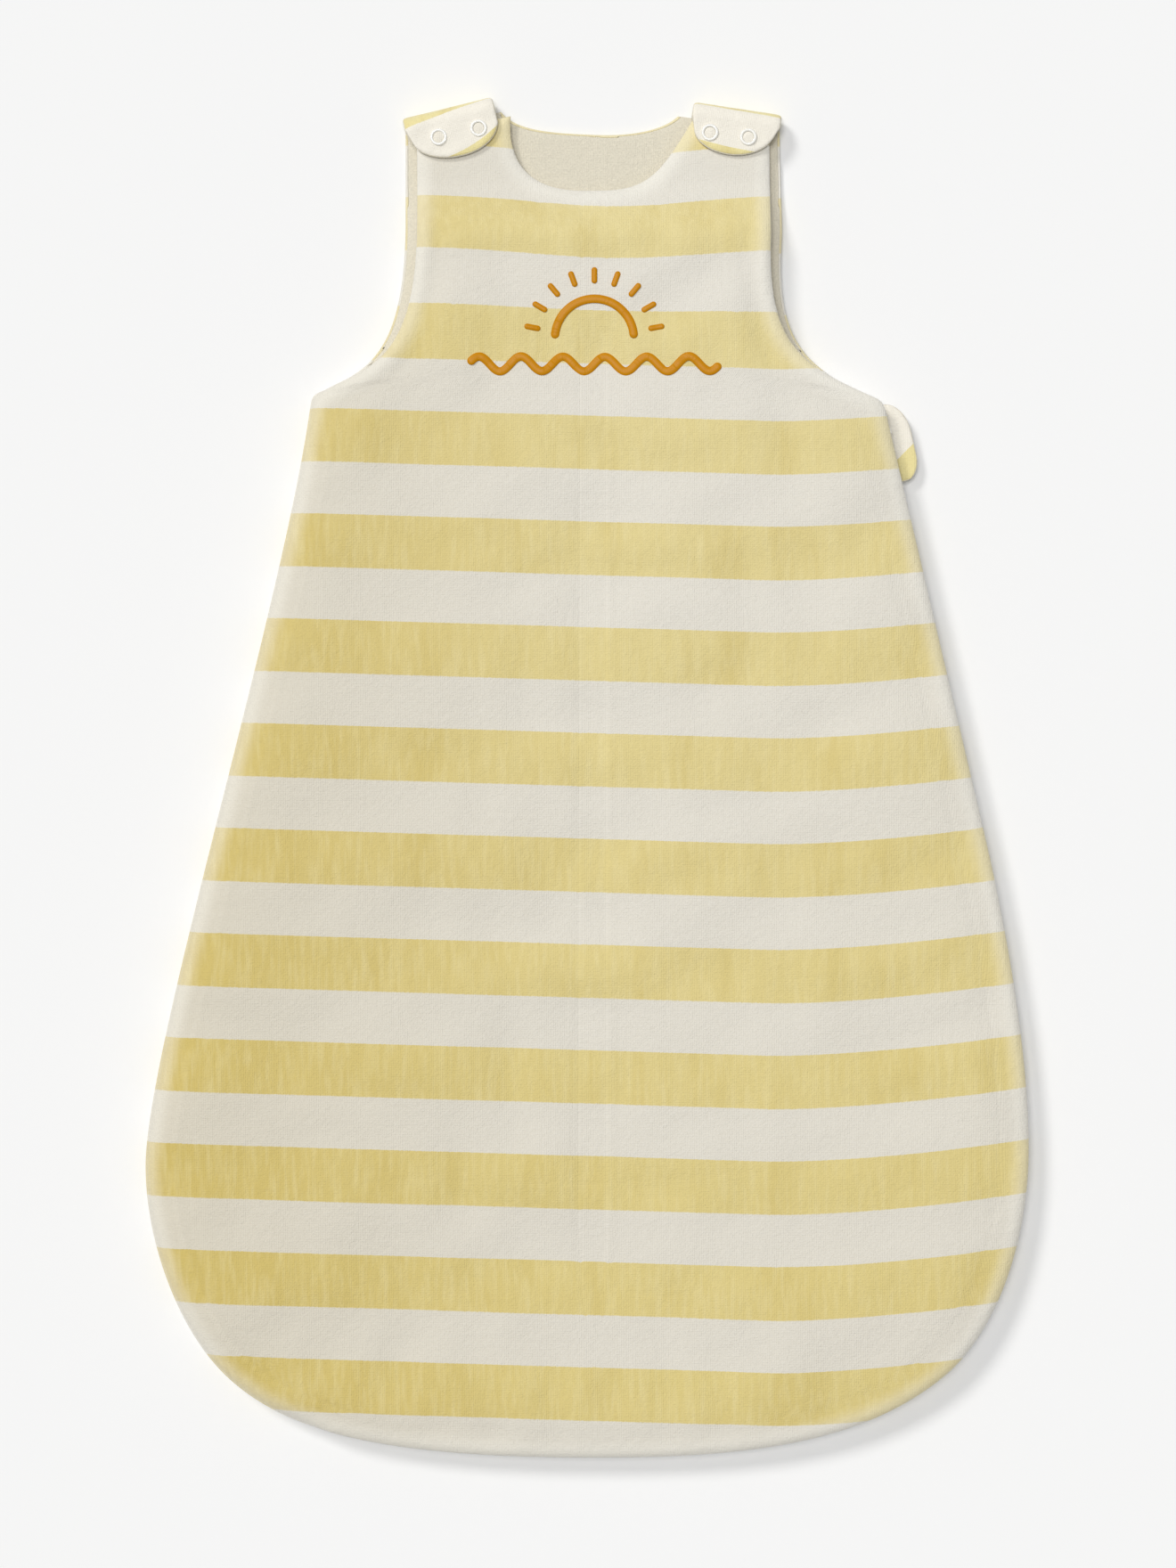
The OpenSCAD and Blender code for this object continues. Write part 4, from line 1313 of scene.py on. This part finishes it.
# %% Half sun and wave
SUN_MIDDLE = at(4, 240)
SUN_RADIUS = 24.0
SUN_RAYS = 9
RAY_FROM = SUN_RADIUS + 6
RAY_TO = SUN_RADIUS + 15
STITCH_WIDE = 4.7
RAY_WIDE = 3.2
WAVE_PLACE = at(4, 226)
WAVE_LONG = 138
WAVE_HIGH = 4
WAVES = 6
angle = np.linspace(0, math.pi, 120)
ring = SUN_RADIUS - STITCH_WIDE / 2
arc = SUN_MIDDLE + ring * np.column_stack([np.cos(angle), np.sin(angle)])
strips = [satin(arc, STITCH_WIDE)]
for i in range(SUN_RAYS):
    way = math.pi * (i + 0.5) / SUN_RAYS
    ray = np.array([math.cos(way), math.sin(way)])
    ends = [SUN_MIDDLE + ray * RAY_FROM, SUN_MIDDLE + ray * RAY_TO]
    strips.append(satin(np.array(ends), RAY_WIDE))
embroidery("sun_stitching", strips, "sun_embroidery")
x = np.linspace(-WAVE_LONG / 2, WAVE_LONG / 2, 300)
rise = WAVE_HIGH * np.sin(2 * math.pi * WAVES * x / WAVE_LONG)
wave = WAVE_PLACE + np.column_stack([x, rise])
embroidery("wave_stitching", [satin(wave, STITCH_WIDE)], "wave_embroidery")

# %% [markdown]
# ## The zip
# The zip runs down the right side, round the hip and along most of the hem, hidden between the
# two panels. Each half is a woven tape with a coil sewn to its edge. The coil's loops are close
# and even, 1.6 mm apart, and the front's loops sit between the back's. The frame holds a smooth
# band for each, so loops and tape are made here along the same line.

# %% The zip's line
ZIP_START = 11.0
COIL_INSET = 3.7
COIL_WIDE = 2.0
BACK_COIL = (9.9, 12.4)
FRONT_COIL = (13.6, 16.1)
BACK_TAPE = (8.6, 12.4)
FRONT_TAPE = (13.6, 17.4)
TAPE_THICK = 0.6
LOOP_PITCH = 1.6
first = RIGHT_UNDERARM + side_run * ZIP_START
zip_line = np.vstack([
    bezier(straight(first, SIDE_END), steps(160)),
    bezier(right_curve, 1 - steps(130)),
    bezier(right_hip, 1 - steps(90)),
    bezier(right_hem, 1 - steps(140)),
    bezier(left_hem, ZIP_HEM_SHARE * steps(90)),
])
zip_long = np.concatenate([[0], np.cumsum(np.linalg.norm(np.diff(zip_line, axis=0), axis=1))])
print("zip", round(float(zip_long[-1])), "mm long")


def on_zip(distance, inset):
    """Points at a distance down the zip, set in from the bag's edge, and the way along it."""
    spots = np.column_stack([np.interp(distance, zip_long, zip_line[:, i]) for i in (0, 1)])
    ahead = unit(np.gradient(spots, distance, axis=0))
    inner = np.column_stack([ahead[:, 1], -ahead[:, 0]])
    return spots + inner * inset, ahead, inner


# %% Coil loops
NYLON = {"Roughness": 0.35, "Specular IOR Level": 0.4}
coil_finish = Finish("zip_coil", NYLON)
place = coil_finish.attribute("cloth", "Vector")
draw = coil_finish.noise(place, 1500, 2.0)
coil_finish.bump(draw, 0.00003, 0.5)
nylon = coil_finish.mix(draw, tone(216, 208, 186), tone(236, 230, 212))
coil_finish.fill(coil_finish.shader, {"Base Color": nylon})


LOOP_HALF = (0.56, 0.98)
SIDES = 8


def coil_loops(name, low, high, shift):
    """One rounded upright loop every pitch, narrower at its top and foot."""
    where = np.arange(1.2 + shift, zip_long[-1] - 1, LOOP_PITCH)
    spots, ahead, inner = on_zip(where, COIL_INSET + COIL_WIDE / 2)
    turn = np.linspace(0, 2 * math.pi, SIDES + 1)[:-1] + math.pi / SIDES
    heights = [low, low + 0.25, (low + high) / 2, high - 0.25, high]
    widths = [0.55, 0.95, 1.0, 0.95, 0.55]
    points, faces = [], []
    for i in range(len(where)):
        start = len(points)
        for height, grow in zip(heights, widths):
            for a in turn:
                run = ahead[i] * math.cos(a) * LOOP_HALF[0] * grow
                side = inner[i] * math.sin(a) * LOOP_HALF[1] * grow
                points.append([*(spots[i] + (run + side)), height])
        for k in range(len(heights) - 1):
            lower, upper = start + SIDES * k, start + SIDES * (k + 1)
            for j in range(SIDES):
                after = (j + 1) % SIDES
                faces.append([lower + j, upper + j, upper + after, lower + after])
        end = len(points)
        faces.append(list(range(start, start + SIDES)))
        faces.append(list(range(end - 1, end - SIDES - 1, -1)))
    print(name, len(where), "loops")
    return make_piece(name, np.array(points), faces, coil_finish.material)


back_coil = coil_loops("zip_loops_back", *BACK_COIL, 0.0)
front_coil = coil_loops("zip_loops_front", *FRONT_COIL, LOOP_PITCH / 2)

# %% Tape with a woven face
tape_finish = Finish("zip_tape", {"Roughness": 0.85, "Specular IOR Level": 0.2, "Sheen Weight": 0.1})
place = tape_finish.attribute("cloth", "Vector")
CORD = 0.9 * MM
PICK = 0.7 * MM
cords = ribs(tape_finish, place, "Y", CORD)
picks = ribs(tape_finish, place, "X", PICK)
tape_finish.bump(cords + picks * 0.4, 0.00015, 0.7)
woven = tape_finish.mix(cords, tone(205, 196, 168), tone(226, 218, 194))
tape_finish.fill(tape_finish.shader, {"Base Color": woven})


TAPE_ALONG = 560
TAPE_ACROSS = 5


def tape(name, low, high):
    """An upright strip along the zip's line that waves a little; laid is the strip when flat."""
    size = (TAPE_ALONG, TAPE_ACROSS)
    where = np.linspace(0, zip_long[-1], TAPE_ALONG)
    spots, _, inner = on_zip(where, COIL_INSET + COIL_WIDE + TAPE_THICK / 2)
    heights = np.linspace(low, high, TAPE_ACROSS)
    points = np.zeros((*size, 3))
    points[..., :2] = (spots + inner * (0.12 * np.sin(where / 9))[:, None])[:, None]
    points[..., 2] = heights
    laid = np.zeros((*size, 3))
    laid[..., 0] = where[:, None]
    laid[..., 1] = heights
    faces = grid_faces(np.arange(TAPE_ALONG * TAPE_ACROSS).reshape(size)).tolist()
    piece = make_piece(name, points.reshape(-1, 3), faces, tape_finish.material, None, laid.reshape(-1, 3))
    modify(piece, "SOLIDIFY", thickness=TAPE_THICK * MM * 0.9, offset=0.0)
    settle_mesh(piece)
    return piece


back_tape = tape("zip_tape_back_cloth", *BACK_TAPE)
front_tape = tape("zip_tape_front_cloth", *FRONT_TAPE)
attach(back_coil, "bag")
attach(back_tape, "bag")
bend_at_crease(front_coil)
bend_at_crease(front_tape)
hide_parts("zip_coil_back")
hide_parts("zip_tape_back")
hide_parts("zip_coil_front", "zip_coil_front_top")
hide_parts("zip_tape_front", "zip_tape_front_top")

# %% [markdown]
# ## Slider and puller
# The slider's body is cast as two rounded plates with a wedge between them, and the puller is a
# flat rounded drop with an eye at its end. Both are enamelled, as such zips are. The frame holds
# them square, so these pieces have the same sizes with soft edges.

# %% Rounded blocks along the side seam
SLIDER_DOWN = 20.5
SLIDER_LONG = 11.0


def block(out_from, out_to, up_from, up_to, low, high):
    """Corners of a block by the side seam: outwards, up along the seam from the slider, and height."""
    middle_spot = RIGHT_UNDERARM + side_run * SLIDER_DOWN
    corners = []
    for z in (low, high):
        for out_by, up_by in ((out_from, up_from), (out_to, up_from), (out_to, up_to), (out_from, up_to)):
            corners.append([*(middle_spot + side_out * out_by - side_run * up_by), z])
    return corners


BLOCK_FACES = [[0, 3, 2, 1], [4, 5, 6, 7], [0, 1, 5, 4], [1, 2, 6, 5], [2, 3, 7, 6], [3, 0, 4, 7]]


def cast_piece(name, blocks, round_by):
    points, faces = [], []
    for corners in blocks:
        faces += [[i + len(points) for i in face] for face in BLOCK_FACES]
        points += corners
    piece = make_piece(name, np.array(points), faces, enamel.material)
    modify(piece, "BEVEL", width=round_by * MM, segments=3)
    settle_mesh(piece)
    return piece


half = SLIDER_LONG / 2
print("the slider is", SLIDER_DOWN, "mm below the underarm")
slider = cast_piece("slider_body", [
    block(-3.4, -1.9, -half, half, 9.3, 16.7),
    block(-7.8, -6.6, -half, half, 9.3, 16.7),
    block(-6.7, -3.3, -half / 2, half / 2, 12.7, 13.3),
    block(-1.95, 0.7, half - 3, half, 9.3, 10.5),
    block(-1.95, 0.7, half - 3, half, 15.5, 16.7),
], 0.35)
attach(slider, "zip_slider")
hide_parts("zip_slider")

# %% Puller: a flat drop with an eye
PIN_OUT = -0.5
PULLER_LONG = 27.0


def puller_drop():
    """A closed drop seen from the side: narrow at the pin, wide at the end, with an eye."""
    around = 48
    turn = np.linspace(0, 2 * math.pi, around + 1)[:-1]
    outer, inner = [], []
    pin_up = SLIDER_LONG / 2 - 1.5
    for a in turn:
        s = (1 - math.cos(a)) / 2
        half_high = 0.9 + 1.3 * math.sin(min(1, s * 1.25) * math.pi / 2)
        up = pin_up - (s * PULLER_LONG)
        rise = math.sin(a) * half_high if 0.02 < s < 0.98 else 0
        outer.append((up, rise))
        inner.append((pin_up - PULLER_LONG + 4 + 1.3 * math.cos(a + math.pi), 1.1 * math.sin(a)))
    points, faces = [], []
    for out_by in (PIN_OUT - 0.7, PIN_OUT + 0.7):
        for up, rise in outer + inner:
            spot = RIGHT_UNDERARM + side_run * (SLIDER_DOWN - up) + side_out * out_by
            points.append([*spot, 13.0 + rise])
    total = 2 * around
    for i in range(around):
        j = (i + 1) % around
        faces.append([i, j, around + j, around + i])
        faces.append([total + j, total + i, total + around + i, total + around + j])
        faces.append([j, i, total + i, total + j])
        faces.append([around + i, around + j, total + around + j, total + around + i])
    return np.array(points), faces


points, faces = puller_drop()
puller = make_piece("puller_drop", points, faces, enamel.material)
modify(puller, "BEVEL", width=0.25 * MM, segments=2, limit_method="ANGLE")
settle_mesh(puller)
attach(puller, "zip_puller")
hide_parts("zip_puller")
enamelled("zip_top_stops")
enamelled("zip_bottom_stop")

# %% [markdown]
# ## The closed side seam
# Inside the left side, the edges of all four cloths are sewn together and overlocked. It is a
# narrow wavy strip that stands inwards from the seam, seen only from inside the bag.

# %% Seam allowance
SEAM_IN = (0.6, 7.5)
SEAM_HEIGHT = 13.0
SEAM_THICK = 1.4 * MM
seam_line = np.vstack([
    bezier(left_side, 1 - steps(150)),
    bezier(left_hip, 1 - steps(60)),
    bezier(left_hem, 1 - steps(60) * 0.37),
])
seam_ahead = unit(np.gradient(seam_line, axis=0))
seam_inner = np.column_stack([-seam_ahead[:, 1], seam_ahead[:, 0]])
seam_long = np.concatenate([[0], np.cumsum(np.linalg.norm(np.diff(seam_line, axis=0), axis=1))])
inset = np.linspace(*SEAM_IN, 7)
flutter = np.sin(seam_long / 3.1) * 0.35 + np.sin(seam_long / 7.7) * 0.3
flat = seam_line[:, None] + seam_inner[:, None] * inset[None, :, None]
height = SEAM_HEIGHT + flutter[:, None] * (inset[None, :] / 7)
seam_points = np.concatenate([flat, height[..., None]], axis=-1)
seam_pattern = np.zeros((*height.shape, 3))
seam_pattern[..., 0] = inset
seam_pattern[..., 1] = seam_long[:, None]
faces = grid_faces(np.arange(height.size).reshape(height.shape)).tolist()
points = seam_points.reshape(-1, 3)
laid = seam_pattern.reshape(-1, 3)
seam = make_piece("side_seam_allowance", points, faces, lining_jersey, None, laid)
thicken(seam, SEAM_THICK, 0.0)
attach(seam, "bag")
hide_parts("left_side_seam")

# %% [markdown]
# ## What the soft pieces are
# The cloth hidden inside a seam isn't made. The exceptions are the zip tapes and the left seam,
# of which a strip is made.

# %% Cloths and wadding


# %% [markdown]
# ## Finish

# %% Finish
bpy.context.view_layer.update()
